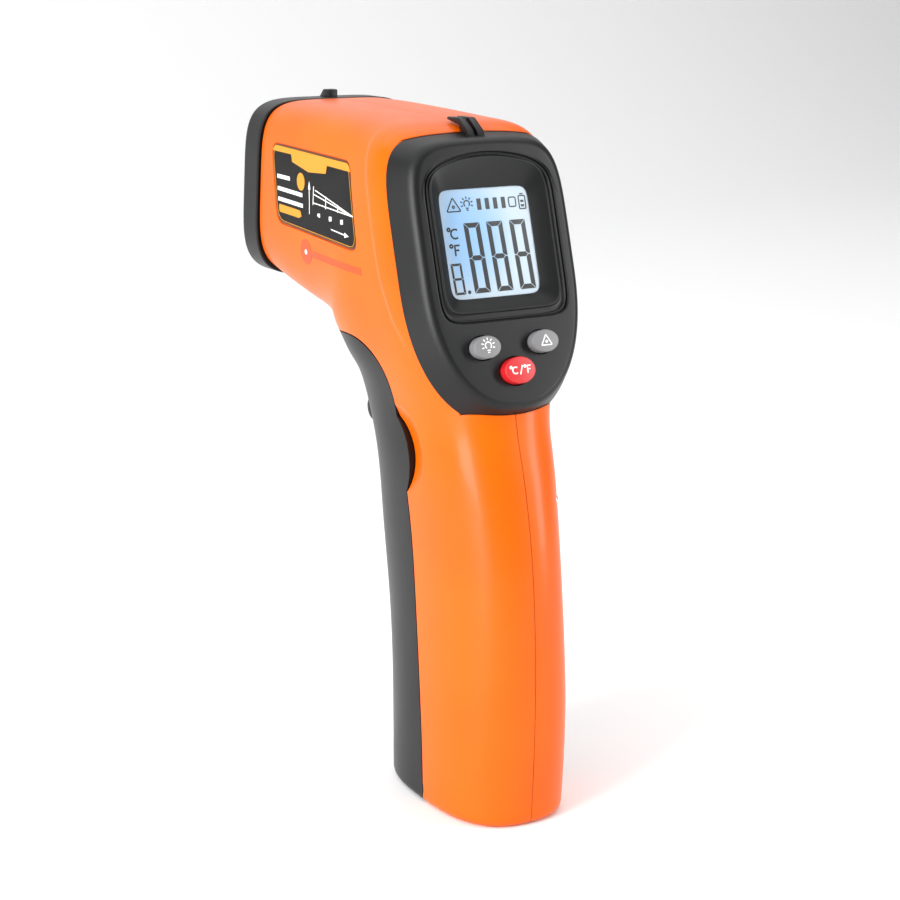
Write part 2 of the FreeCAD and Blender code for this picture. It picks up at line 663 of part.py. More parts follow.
WINDOW_FLOOR = -3.0
FLOOR_DROP = 0.3
rim = display_rectangle(dim("WindowWidth"), dim("WindowHeight"), 0.5, window_centre)
foot = display_rectangle(WINDOW_FLOOR_WIDTH, WINDOW_FLOOR_HEIGHT, WINDOW_FLOOR, window_centre - FLOOR_DROP)
well = Part.makeLoft([rim, foot], True, True)
WELL_RIM = 1.6
WELL_WALL = 3.0
well_rim = display_rectangle(dim("WindowWidth") + WELL_RIM, dim("WindowHeight") + WELL_RIM, 0, window_centre)
well_foot = display_rectangle(WINDOW_FLOOR_WIDTH + WELL_WALL, WINDOW_FLOOR_HEIGHT + WELL_WALL, WINDOW_FLOOR,
                              window_centre - FLOOR_DROP)
well_wall = Part.makeLoft([well_rim, well_foot], True, True)

BUTTONS = [
    ("backlight_button", -dim("ButtonSpread"), "GreyRow", "GreyButtonWidth", "GreyButtonHeight"),
    ("laser_button", dim("ButtonSpread"), "GreyRow", "GreyButtonWidth", "GreyButtonHeight"),
    ("unit_button", 0.0, "RedRow", "RedButtonWidth", "RedButtonHeight"),
]
BUTTON_CLEARANCE = 0.25

bezel = bezel_envelope.cut(bezel_hollow).fuse(well_wall).cut(well)
for node, x, row, width, height in BUTTONS:
    bezel = bezel.cut(display_ellipse(dim(width) + 2 * BUTTON_CLEARANCE, dim(height) + 2 * BUTTON_CLEARANCE,
                                      x, dim(row), -4.0, 1.0))
REAR_SIGHT = [(-26.2, 146.6), (-25.0, 148.4), (-21.6, 150.7), (-16.6, 150.7), (-16.6, 150.1), (-21.3, 149.3),
              (-22.4, 147.4)]
RIB_HALF_WIDTH = 0.8
RIB_OFFSET = 1.2
for side in (-1, 1):
    rib = prism_x(REAR_SIGHT, RIB_HALF_WIDTH).translated(Vector(side * RIB_OFFSET, 0, 0))
    bezel = bezel.fuse(rib.cut(bezel_hollow))
keep("display_bezel", feature("DisplayBezel", bezel.removeSplitter()))

CAP_ROOT = -4.2
CAP_SKIRT = 1.6
for node, x, row, width, height in BUTTONS:
    cap = new_body(node + "_body")
    face = sketch_on(cap, node + "_face")
    add_ellipse(face, dim(width), dim(height))
    pad(cap, face, "Dims.ButtonProud - (%s)" % CAP_ROOT)
    skirt = sketch_on(cap, node + "_skirt")
    add_ellipse(skirt, dim(width) + CAP_SKIRT, dim(height) + CAP_SKIRT)
    pad(cap, skirt, "1.2")
    cap.Placement = moved(DISPLAY, x, dim(row), CAP_ROOT)
    keep(node, cap)

# ---------------------------------------------------------------- behind the display
GLASS_Y = 17.0
keep("window_lens", slab("WindowLens", moved(DISPLAY, 0, window_centre - FLOOR_DROP, -4.0),
                         "Dims.WindowLensWidth", "Dims.WindowLensHeight", "Dims.WindowLensThickness", "1"))
keep("lcd_glass", slab("LcdGlass", moved(DISPLAY, 0, GLASS_Y, -6.0),
                       "Dims.GlassWidth", "Dims.GlassHeight", "Dims.GlassThickness"))
keep("lcd_backlight", slab("LcdBacklight", moved(DISPLAY, 0, GLASS_Y + 2.0, -8.6),
                           "Dims.GlassWidth - 1", "Dims.GlassHeight - 5", "Dims.GuideThickness"))
keep("contact_strip", slab("ContactStrip", moved(DISPLAY, 0, GLASS_Y - 13.6, -dim("BoardDepth") + 0.05),
                           "23", "2", "Dims.BoardDepth - 6.1"))

frame_body = new_body("LcdFrameBody")
frame_outline = sketch_on(frame_body, "LcdFrameOutline")
add_rectangle(frame_outline, "Dims.GlassWidth + 2.4", "Dims.GlassHeight + 2.4")
add_rectangle(frame_outline, "Dims.GlassWidth + 0.3", "Dims.GlassHeight + 0.3")
pad(frame_body, frame_outline, "Dims.BoardDepth - 4.15")
frame_body.Placement = moved(DISPLAY, 0, GLASS_Y, -dim("BoardDepth") + 0.05)
keep("lcd_frame", frame_body)

BOARD_SCREWS = [(-13.4, 35.4), (13.4, 35.4), (-8.6, -11.6), (8.6, -11.6)]
board = new_body("MainBoardBody")
board_outline = sketch_on(board, "MainBoardOutline")
add_outline(board_outline, [(-15, 2.2), (-10.2, 2.2), (-10.2, -13), (10.2, -13), (10.2, 2.2), (15, 2.2),
                            (15, 36.8), (-15, 36.8)])
pad(board, board_outline, "Dims.BoardThickness")
board_holes = sketch_on(board, "MainBoardHoles")
for x, y in BOARD_SCREWS:
    add_circle(board_holes, "Dims.BoardScrewRadius + 0.1", x, y)
pocket(board, board_holes)
board.Placement = moved(DISPLAY, 0, 0, -dim("BoardDepth") - dim("BoardThickness"))
keep("main_board", board)

board_back = -dim("BoardDepth") - dim("BoardThickness")
keep("main_chip", slab("MainChip", moved(DISPLAY, 0, 18, board_back - 1.25),
                       "Dims.ChipSide", "Dims.ChipSide", "1.2", "3"))

board_screws = []
for number, (x, y) in enumerate(BOARD_SCREWS):
    shaft = cylinder("BoardShaft%d" % number, "Dims.BoardScrewRadius", "Dims.BoardScrewLength",
                     moved(DISPLAY, x, y, board_back - 0.05))
    head = cylinder("BoardHead%d" % number, "Dims.BoardScrewHead", "1.2",
                    moved(DISPLAY, x, y, board_back - 1.25))
    board_screws.append(boolean("Fuse", "BoardScrew%d" % number, shaft, [head]))
keep("board_screws", compound("BoardScrews", board_screws))

mat = new_body("ButtonMatBody")
mat_outline = sketch_on(mat, "ButtonMatOutline")
add_rectangle(mat_outline, "15", "9.4", 0.0, -7.0)
pad(mat, mat_outline, "1")
for number, (_, x, row, _, _) in enumerate(BUTTONS):
    dome = sketch_on(mat, "ButtonDome%d" % number)
    add_circle(dome, "Dims.DomeRadius", x * 0.8, dim(row))
    pad(mat, dome, "Dims.BoardDepth - 5.15")
mat.Placement = moved(DISPLAY, 0, 0, -dim("BoardDepth") + 0.05)
keep("button_mat", mat)

# ---------------------------------------------------------------- trigger group
pivot_y = dim("TriggerPivotY")
pivot_z = dim("TriggerPivotZ")
TRIGGER_PROFILE = [(12.6, 98.6), (12.0, 93.0), (12.5, 87.5), (14.0, 83.6), (15.2, 81.4), (14.4, 79.8),
                   (11.5, 79.6), (6.0, 81.0), (2.0, 84.5), (-0.4, 91.0), (0.2, 99.0), (2.2, 101.4),
                   (6.0, 101.2), (10.2, 99.4)]
trigger = new_body("TriggerBody")
trigger_outline = sketch_on(trigger, "TriggerOutline", "YZ_Plane")
add_outline(trigger_outline, TRIGGER_PROFILE)
pad(trigger, trigger_outline, "Dims.TriggerWidth", symmetric=True)
trigger_bore = sketch_on(trigger, "TriggerBore", "YZ_Plane")
add_circle(trigger_bore, "Dims.PinRadius + 0.03", pivot_y, pivot_z)
pocket(trigger, trigger_bore)
keep("trigger", trigger)
keep("trigger_pin", cylinder("TriggerPin", "Dims.PinRadius", "Dims.TriggerPinLength",
                             Placement(Vector(-dim("TriggerPinLength") / 2, pivot_y, pivot_z), ALONG_X)))

bracket = new_body("TriggerBracketBody")
bracket_side = sketch_on(bracket, "BracketSide", "YZ_Plane")
BRACKET_PROFILE = [(6.6, 94.5), (6.6, 105.6), (-10.5, 105.6), (-10.5, 80.0), (-1.5, 80.0), (-1.5, 94.5)]
add_outline(bracket_side, BRACKET_PROFILE)
pad(bracket, bracket_side, "Dims.TriggerWidth + 5.4", symmetric=True)
bracket_slot = sketch_on(bracket, "BracketSlot")
add_rectangle(bracket_slot, "Dims.TriggerWidth + 0.8", "20", 0.0, 1.0)
pocket(bracket, bracket_slot, "Dims.TriggerPivotZ + 5.3")
bracket_bore = sketch_on(bracket, "BracketBore", "YZ_Plane")
add_circle(bracket_bore, "Dims.PinRadius + 0.02", pivot_y, pivot_z)
pocket(bracket, bracket_bore)
keep("trigger_bracket", bracket)

ALONG_Y = Rotation(Z_AXIS, Y_AXIS)
BRACKET_FACE = -8.9
SWITCH_BASE = 86.0
SPRING_Z = 96.0
switch_case = box("SwitchCase", (-dim("SwitchWidth") / 2, BRACKET_FACE, SWITCH_BASE),
                  "Dims.SwitchWidth", "Dims.SwitchDepth", "Dims.SwitchHeight")
stem_place = Vector(0, BRACKET_FACE + dim("SwitchDepth"), SWITCH_BASE + dim("SwitchHeight") / 2)
switch_stem = cylinder("SwitchStem", "1.2", "1.2", Placement(stem_place, ALONG_Y))
keep("trigger_switch", boolean("Fuse", "TriggerSwitch", switch_case, [switch_stem]))

spring_outer = cylinder("SpringOuter", "Dims.SpringRadius", "Dims.SpringLength",
                        Placement(Vector(0, BRACKET_FACE, SPRING_Z), ALONG_Y))
spring_bore = cylinder("SpringBore", "Dims.SpringRadius - 0.6", "Dims.SpringLength + 2",
                       Placement(Vector(0, BRACKET_FACE - 1, SPRING_Z), ALONG_Y))
keep("trigger_spring", boolean("Cut", "TriggerSpring", spring_outer, [spring_bore]))

# ---------------------------------------------------------------- battery door
# Behind its pin the door ends in a round heel, so that it can swing without touching the shells.
heel_corner = Part.makeBox(FAR, FAR, hinge_z + FAR, Vector(-FAR / 2, hinge_y - FAR, -FAR))
heel_rod = rod_x(heel, -FAR / 2, FAR / 2, hinge_y, hinge_z)
door_form = door_region.translated(Vector(0, gap, -gap)).cut(heel_corner).fuse(heel_rod).fuse(ear)
door = outer.common(door_form).cut(housing_solid(door_wall, door_wall + 0.6, 3.0))
WINDOW_LOW = 76.0
WINDOW_HIGH = 99.9
trigger_window = Part.makeBox(dim("TriggerWidth") + 1.2, 60, WINDOW_HIGH - WINDOW_LOW,
                              Vector(-dim("TriggerWidth") / 2 - 0.6, -10, WINDOW_LOW))
door = door.cut(trigger_window)
KNUCKLE_LENGTH = 6.0
for low in (LUG_HALF_WIDTH + gap, -LUG_HALF_WIDTH - gap - KNUCKLE_LENGTH):
    knuckle_rod = rod_x(knuckle, low, low + KNUCKLE_LENGTH, hinge_y, hinge_z)
    web = Part.makeBox(KNUCKLE_LENGTH, 3.0, hinge_z, Vector(low, hinge_y, 0.4))
    door = door.fuse(knuckle_rod.fuse(web))
LUG_ROOM_LENGTH = 40.0
lug_room = Part.makeBox(2 * (LUG_HALF_WIDTH + gap), LUG_ROOM_LENGTH, 2 * hinge_z + 2,
                        Vector(-LUG_HALF_WIDTH - gap, hinge_y + knuckle + gap - LUG_ROOM_LENGTH, -1.0))
door = door.cut(lug_room).cut(rod_x(dim("PinRadius") + 0.03, -12, 12, hinge_y, hinge_z))
keep("battery_door", feature("BatteryDoor", door))
keep("door_pin", cylinder("DoorPin", "Dims.PinRadius", "Dims.DoorPinLength",
                          Placement(Vector(-dim("DoorPinLength") / 2, hinge_y, hinge_z), ALONG_X)))

# ---------------------------------------------------------------- battery tray and cells
cell_y = dim("CellY")
cell_base = dim("CellBase")
cell_x = dim("CellSpacing") / 2
cell_top = cell_base + dim("CellLength")
TRAY_BACK = -28.6
TRAY_BASE = 7.6
TRAY_FLOOR = 1.2
FIT = 0.05
tray_half = dim("TrayWidth") / 2
tray = box("TrayBlock", (-tray_half, TRAY_BACK, TRAY_BASE),
           "Dims.TrayWidth", "Dims.TrayDepth", "Dims.TrayHeight")
tray_room = box("TrayRoom", (dim("TrayWall") - tray_half, cell_y - 5.4, TRAY_BASE + TRAY_FLOOR),
                "Dims.TrayWidth - 2 * Dims.TrayWall", "2 * Dims.TrayDepth",
                "Dims.TrayHeight - %s" % (2 * TRAY_FLOOR))
keep("battery_tray", boolean("Cut", "BatteryTray", tray, [tray_room]))


def battery(name, x, nub_z):
    """One cell with its nub at the top or at the bottom."""
    cell = cylinder("Cell" + name, "Dims.CellRadius", "Dims.CellLength",
                    Placement(Vector(x, cell_y, cell_base), Rotation()))
    nub = cylinder("Nub" + name, "Dims.NubRadius", "Dims.NubHeight",
                   Placement(Vector(x, cell_y, nub_z), Rotation()))
    return boolean("Fuse", "Battery" + name, cell, [nub])


def contact_spring(name, x, z, lower, upper):
    """The cone that a coiled contact spring fills, with the expressions of its two radii."""
    spring = doc.addObject("Part::Cone", "ContactSpring" + name)
    for side, expression in (("Radius1", lower), ("Radius2", upper), ("Height", "Dims.ContactHeight")):
        spring.setExpression(side, expression)
    spring.Placement.Base = Vector(x, cell_y, z)
    return spring


def contact_plate(name, x, z):
    """Flat contact that a cell's nub touches."""
    half = dim("PlateSide") / 2
    return box("ContactPlate" + name, (x - half, cell_y - half, z),
               "Dims.PlateSide", "Dims.PlateSide", "Dims.PlateThickness")


nub_height = dim("NubHeight")
plate_thickness = dim("PlateThickness")
keep("batteries", compound("Batteries", [battery("Left", -cell_x, cell_top),
                                         battery("Right", cell_x, cell_base - nub_height)]))
keep("contact_springs", compound("ContactSprings", [
    contact_spring("Left", -cell_x, cell_base - dim("ContactHeight") - FIT,
                   "Dims.ContactWide", "Dims.ContactNarrow"),
    contact_spring("Right", cell_x, cell_top + FIT, "Dims.ContactNarrow", "Dims.ContactWide")]))
keep("contact_plates", compound("ContactPlates", [
    contact_plate("Left", -cell_x, cell_top + nub_height + FIT),
    contact_plate("Right", cell_x, cell_base - nub_height - FIT - plate_thickness)]))

# ---------------------------------------------------------------- checks and export
doc.recompute()
for item in doc.Objects:
    if "Invalid" in item.State or "Error" in item.State:
        raise RuntimeError("%s failed: %s" % (item.Label, item.State))
os.makedirs("parts", exist_ok=True)
for node, item in PARTS.items():
    if item.Shape.isNull() or not item.Shape.isValid():
        raise RuntimeError(node + " has no valid shape")
    item.Shape.exportStep("parts/%s.step" % node)
    box_size = item.Shape.BoundBox
    print("%-18s solids %d volume %9.1f  x %6.1f %6.1f  y %6.1f %6.1f  z %6.1f %6.1f" % (
        node, len(item.Shape.Solids), item.Shape.Volume, box_size.XMin, box_size.XMax,
        box_size.YMin, box_size.YMax, box_size.ZMin, box_size.ZMax))
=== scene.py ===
"""Infrared thermometer: finished surfaces and materials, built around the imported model.

Lengths in this file are millimetres until a mesh is made, which turns them into metres. +Z is up,
+Y points out of the nose, and -Y is the user's side. New pieces are grids of points worked out with
numpy: closed loops stacked into a skin, or a cross-section carried along a path.
"""
import json
import logging
import math
from dataclasses import dataclass
from enum import Enum
from typing import Callable, Iterable, Optional, Sequence, Union

import bmesh
import bpy
import numpy as np
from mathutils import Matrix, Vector


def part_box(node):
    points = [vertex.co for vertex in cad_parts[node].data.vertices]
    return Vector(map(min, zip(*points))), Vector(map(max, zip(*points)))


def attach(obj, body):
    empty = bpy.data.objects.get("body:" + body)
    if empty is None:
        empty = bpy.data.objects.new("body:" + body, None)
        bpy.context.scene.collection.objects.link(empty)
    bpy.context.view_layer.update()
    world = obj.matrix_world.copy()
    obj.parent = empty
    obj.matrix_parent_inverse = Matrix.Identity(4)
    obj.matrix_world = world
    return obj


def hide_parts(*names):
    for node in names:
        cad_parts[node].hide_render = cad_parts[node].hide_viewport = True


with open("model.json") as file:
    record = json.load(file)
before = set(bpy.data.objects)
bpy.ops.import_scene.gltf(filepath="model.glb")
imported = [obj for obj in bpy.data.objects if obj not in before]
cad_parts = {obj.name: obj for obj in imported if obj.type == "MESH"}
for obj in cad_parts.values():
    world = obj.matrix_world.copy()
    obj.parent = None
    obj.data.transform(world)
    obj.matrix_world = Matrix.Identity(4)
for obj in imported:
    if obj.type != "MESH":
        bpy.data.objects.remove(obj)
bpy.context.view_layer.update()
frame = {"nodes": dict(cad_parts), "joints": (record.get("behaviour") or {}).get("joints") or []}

MM = 0.001
LOG = logging.getLogger("thermometer")
HOUSING_BODY = "housing"
DOOR_BODY = "battery_door"
TRIGGER_BODY = "trigger"
TOOL_GRID = (120, 150)  # points round and along a form that only cuts

Array = np.ndarray
Piece = bpy.types.Object
Marks = list[tuple[Array, Array]]
Strokes = list[tuple[Array, bool]]
Marks = Marks
Strokes = Strokes
Number = Union[float, int]


# ---- curves and grids
def smoothstep(value: Array) -> Array:
    """Zero below 0, one above 1, and 3t^2 - 2t^3 between."""
    t = np.clip(value, 0.0, 1.0)
    return t * t * (3.0 - 2.0 * t)


def turn(count: int, start: float = -math.pi / 2) -> Array:
    """Angles of a full turn, evenly spaced, without the repeated last one."""
    return start + 2.0 * np.pi * np.arange(count) / count


def superellipse(angle: Array, half_width: Array, half_height: Array,
                 lower_power: Array, upper_power: Array) -> tuple[Array, Array]:
    """Points of |x/a|^p + |y/b|^p = 1 in the directions given.

    Args:
        angle: direction of each point from the centre, in radians.
        half_width: a.
        half_height: b.
        lower_power: p where the point lies below the centre.
        upper_power: p where it lies above.

    Returns:
        The x and y of each point.
    """
    power = np.where(np.sin(angle) > 0, upper_power, lower_power)
    across = np.abs(np.cos(angle)) / half_width
    rise = np.abs(np.sin(angle)) / half_height
    reach = (across ** power + rise ** power) ** (-1.0 / power)
    return reach * np.cos(angle), reach * np.sin(angle)


def end_slope(stations: Array, values: Array) -> Array:
    """Slope at the first station of the cubic through the first four points.

    Args:
        stations: increasing parameters, one for each row.
        values: rows of points.

    Returns:
        The slope, in the shape of one row.
    """
    gaps = stations[1:4] - stations[0]
    powers = np.stack([gaps, gaps ** 2, gaps ** 3], axis=1)
    rises = (values[1:4] - values[0]).reshape(3, -1)
    return np.linalg.solve(powers, rises)[0].reshape(values.shape[1:])


def spline_slopes(stations: Array, values: Array) -> Array:
    """Slopes of the cubic spline with continuous curvature through the values.

    Args:
        stations: increasing parameters, one for each row of values.
        values: rows of points, of any trailing shape.

    Returns:
        One slope for each value.
    """
    count = len(stations)
    gap = np.diff(stations)
    matrix = np.eye(count)
    flat = values.reshape(count, -1)
    right = np.zeros_like(flat)
    rise = np.diff(flat, axis=0) / gap[:, None]
    inner = np.arange(1, count - 1)
    matrix[inner, inner - 1] = gap[1:]
    matrix[inner, inner] = 2.0 * (gap[1:] + gap[:-1])
    matrix[inner, inner + 1] = gap[:-1]
    right[inner] = 3.0 * (rise[:-1] * gap[1:, None] + rise[1:] * gap[:-1, None])
    right[0] = end_slope(stations, flat)
    right[-1] = -end_slope(-stations[::-1], flat[::-1])
    return np.linalg.solve(matrix, right).reshape(values.shape)


def spline_at(stations: Array, values: Array, wanted: Array, pairwise: bool = False) -> Array:
    """The cubic spline through the values, at the wanted parameters.

    Args:
        stations: increasing parameters.
        values: rows of points, one row for each station.
        wanted: parameters to read the spline at.
        pairwise: read column m of the values only at wanted[m].

    Returns:
        The points, one row for each wanted parameter.
    """
    slopes = spline_slopes(stations, values)
    span = np.clip(np.searchsorted(stations, wanted, side="right") - 1, 0, len(stations) - 2)
    width = stations[span + 1] - stations[span]
    t = (wanted - stations[span]) / width
    if pairwise:
        column = np.arange(len(wanted))
        low, high = values[span, column], values[span + 1, column]
        low_slope, high_slope = slopes[span, column], slopes[span + 1, column]
    else:
        low, high = values[span], values[span + 1]
        low_slope, high_slope = slopes[span], slopes[span + 1]
    shape = (-1,) + (1,) * (low.ndim - 1)
    t, width = t.reshape(shape), width.reshape(shape)
    return ((1 + 2 * t) * (1 - t) ** 2 * low + t * (1 - t) ** 2 * width * low_slope
            + t * t * (3 - 2 * t) * high + t * t * (t - 1) * width * high_slope)


def smooth_outline(points: Sequence[tuple[float, float]], count: int, closed: bool = False) -> Array:
    """Points along the spline through a few given points, by distance between them.

    Args:
        points: the given points.
        count: number of points.
        closed: join the end to the start.

    Returns:
        Points as (point, xy).
    """
    knots = np.array(points, float)
    if closed:
        knots = np.concatenate([knots[-3:], knots, knots[:4]])
    stations = np.concatenate([[0.0], np.cumsum(np.linalg.norm(np.diff(knots, axis=0), axis=1))])
    first, last = (stations[3], stations[-4]) if closed else (stations[0], stations[-1])
    return spline_at(stations, knots, np.linspace(first, last, count, endpoint=not closed))


def bent(start: tuple[float, float], corner: tuple[float, float], end: tuple[float, float],
         count: int = 8) -> list[tuple[float, float]]:
    """A rounded corner: the quadratic curve from start to end that is drawn towards the corner.

    Args:
        start: first point.
        corner: the point drawn towards.
        end: last point.
        count: number of points.

    Returns:
        The points in order.
    """
    t = np.linspace(0.0, 1.0, count)[:, None]
    curve = (1 - t) ** 2 * np.array(start) + 2 * t * (1 - t) * np.array(corner) + t * t * np.array(end)
    return [tuple(point) for point in curve]


def grid_faces(rows: int, columns: int, wrap_rows: bool = False, wrap_columns: bool = True) -> Array:
    """Quads between neighbouring points of a grid.

    Args:
        rows: number of loops.
        columns: points in each loop.
        wrap_rows: join the last loop to the first.
        wrap_columns: join the end of each loop to its start.

    Returns:
        An array of four point numbers for each face.
    """
    row = np.arange(rows if wrap_rows else rows - 1)[:, None]
    column = np.arange(columns if wrap_columns else columns - 1)[None, :]
    next_row, next_column = (row + 1) % rows, (column + 1) % columns
    corners = [row * columns + column, row * columns + next_column,
               next_row * columns + next_column, next_row * columns + column]
    return np.stack([corner + 0 * row + 0 * column for corner in corners], axis=-1).reshape(-1, 4)


# ---- meshes
class Operation(Enum):
    """What a boolean step does with its tool."""

    CUT = "DIFFERENCE"
    JOIN = "UNION"
    COMMON = "INTERSECT"


def finish_mesh(mesh: bpy.types.Mesh, sharp_degrees: float = 35.0, outward: bool = True) -> None:
    """Merge doubled points, turn the faces outwards and shade smoothly up to an angle.

    Args:
        mesh: the mesh to finish.
        sharp_degrees: edges bent by more than this stay crisp.
        outward: work out again which way the faces point.
    """
    work = bmesh.new()
    work.from_mesh(mesh)
    bmesh.ops.remove_doubles(work, verts=work.verts, dist=1e-7)
    bmesh.ops.dissolve_degenerate(work, edges=work.edges, dist=1e-8)
    if outward:
        bmesh.ops.recalc_face_normals(work, faces=work.faces)
    work.to_mesh(mesh)
    work.free()
    mesh.shade_smooth()
    mesh.set_sharp_from_angle(angle=math.radians(sharp_degrees))


def mesh_object(name: str, points: Array, faces: Union[Array, list], sharp_degrees: float = 35.0) -> Piece:
    """An object whose mesh has these points, given in millimetres.

    Args:
        name: the object's name.
        points: places in millimetres.
        faces: point numbers of each face.
        sharp_degrees: edges bent by more than this stay crisp.

    Returns:
        The object, linked to the scene.
    """
    mesh = bpy.data.meshes.new(name)
    mesh.from_pydata((np.asarray(points, float).reshape(-1, 3) * MM).tolist(), [], np.asarray(faces).tolist()
                     if isinstance(faces, np.ndarray) else faces)
    finish_mesh(mesh, sharp_degrees)
    piece = bpy.data.objects.new(name, mesh)
    bpy.context.scene.collection.objects.link(piece)
    return piece


def skin(name: str, loops: Array, wrap: bool = False, sharp_degrees: float = 35.0) -> Piece:
    """A closed skin over stacked loops.

    Args:
        name: the object's name.
        loops: points as (loop, place in loop, xyz).
        wrap: join the last loop to the first; otherwise both ends close on their middle point.
        sharp_degrees: edges bent by more than this stay crisp.

    Returns:
        The object.
    """
    loops = np.asarray(loops, float)
    if not wrap:
        ends = [np.broadcast_to(loop.mean(axis=0), loop.shape)[None] for loop in (loops[0], loops[-1])]
        loops = np.concatenate([ends[0], loops, ends[1]])
    return mesh_object(name, loops, grid_faces(loops.shape[0], loops.shape[1], wrap_rows=wrap), sharp_degrees)


def slice_x(name: str, outline: Array, low: float, high: float) -> Piece:
    """A solid between two values of x over a closed outline given as (y, z).

    Args:
        name: the object's name.
        outline: closed outline as (y, z).
        low: lower x.
        high: upper x.

    Returns:
        The solid.
    """
    count = len(outline)
    sides = [np.column_stack([np.full(count, x), outline]) for x in (low, high)]
    faces = grid_faces(2, count).tolist() + [list(range(count))[::-1], list(range(count, 2 * count))]
    return mesh_object(name, np.concatenate(sides), faces)


def rod(name: str, radius: float, start: Sequence[float], end: Sequence[float], sides: int = 96) -> Piece:
    """A cylinder between two points."""
    return skin(name, tube_loops(np.array([start, end], float), np.full(2, radius), sides))


def tube_loops(path: Array, radius: Array, sides: int = 16) -> Array:
    """Circles carried along a path, square to it.

    A fixed helper direction, crossed with the path's own direction, gives the circle's plane.

    Args:
        path: points of the middle line.
        radius: one radius for each point.
        sides: points round each circle.

    Returns:
        Points as (place along, place round, xyz).
    """
    along = np.gradient(path, axis=0)
    along /= np.linalg.norm(along, axis=1, keepdims=True)
    spread = path.max(axis=0) - path.min(axis=0)
    helper = np.eye(3)[int(np.argmin(np.abs(along).max(axis=0) + 0.001 * spread))]
    first = np.cross(along, helper)
    first /= np.linalg.norm(first, axis=1, keepdims=True)
    second = np.cross(along, first)
    angle = turn(sides)[None, :, None]
    ring = np.cos(angle) * first[:, None] + np.sin(angle) * second[:, None]
    return path[:, None] + np.asarray(radius).reshape(-1, 1, 1) * ring


def lathe(name: str, profile: Sequence[tuple[float, float]], centre: Sequence[float], axis: int,
          sides: int = 96, sharp_degrees: float = 35.0) -> Piece:
    """A turned solid: the profile's (radius, height) swept round an axis through the centre.

    Args:
        name: the object's name.
        profile: (radius, height) from one end to the other.
        centre: a point on the axis at height 0.
        axis: 0, 1 or 2 for X, Y or Z.
        sides: points round each circle.
        sharp_degrees: edges bent by more than this stay crisp.

    Returns:
        The turned solid.
    """
    radius, height = np.array(profile, float).T
    angle = turn(sides)
    points = np.zeros((len(radius), sides, 3))
    across, rise = [(1, 2), (2, 0), (0, 1)][axis]
    points[..., across] = radius[:, None] * np.cos(angle)
    points[..., rise] = radius[:, None] * np.sin(angle)
    points[..., axis] = height[:, None]
    return skin(name, points + np.array(centre, float), sharp_degrees=sharp_degrees)


def applied(piece: Piece) -> Piece:
    """The object with its modifiers worked into its mesh.

    Args:
        piece: the object to work on.

    Returns:
        The same object.
    """
    graph = bpy.context.evaluated_depsgraph_get()
    mesh = bpy.data.meshes.new_from_object(piece.evaluated_get(graph))
    piece.modifiers.clear()
    piece.data = mesh
    return piece


def carve(piece: Piece, *steps: tuple[Operation, Piece],
          sharp_degrees: float = 35.0) -> Piece:
    """Boolean steps, one after another; the tools are used up.

    Args:
        piece: the closed solid to work on.
        *steps: pairs of an operation and its tool.
        sharp_degrees: edges bent by more than this stay crisp.

    Returns:
        The same object with its new mesh.
    """
    for operation, tool in steps:
        modifier = piece.modifiers.new("Carve", "BOOLEAN")
        modifier.operation = operation.value
        modifier.solver = "MANIFOLD"
        modifier.object = tool
    applied(piece)
    for tool in {tool for _, tool in steps}:
        bpy.data.objects.remove(tool)
    finish_mesh(piece.data, sharp_degrees, outward=False)
    return piece


def rounded(piece: Piece, width: float, segments: int = 3, degrees: float = 40.0) -> Piece:
    """The object with its sharp edges bevelled by a width in millimetres.

    Args:
        piece: the object to work on.
        width: width of the bevel.
        segments: steps across it.
        degrees: edges bent by more than this are bevelled.

    Returns:
        The same object.
    """
    modifier = piece.modifiers.new("Round", "BEVEL")
    modifier.width = width * MM
    modifier.segments = segments
    modifier.limit_method = "ANGLE"
    modifier.angle_limit = math.radians(degrees)
    applied(piece)
    finish_mesh(piece.data, 50.0, outward=False)
    return piece


def joined(name: str, pieces: Sequence[Piece]) -> Piece:
    """One object that holds the meshes of several.

    Args:
        name: the object's name.
        pieces: the objects to merge; they are used up.

    Returns:
        The new object.
    """
    work = bmesh.new()
    for piece in pieces:
        work.from_mesh(piece.data)
    mesh = bpy.data.meshes.new(name)
    work.to_mesh(mesh)
    work.free()
    for piece in pieces:
        bpy.data.objects.remove(piece)
    result = bpy.data.objects.new(name, mesh)
    bpy.context.scene.collection.objects.link(result)
    finish_mesh(mesh, outward=False)
    return result


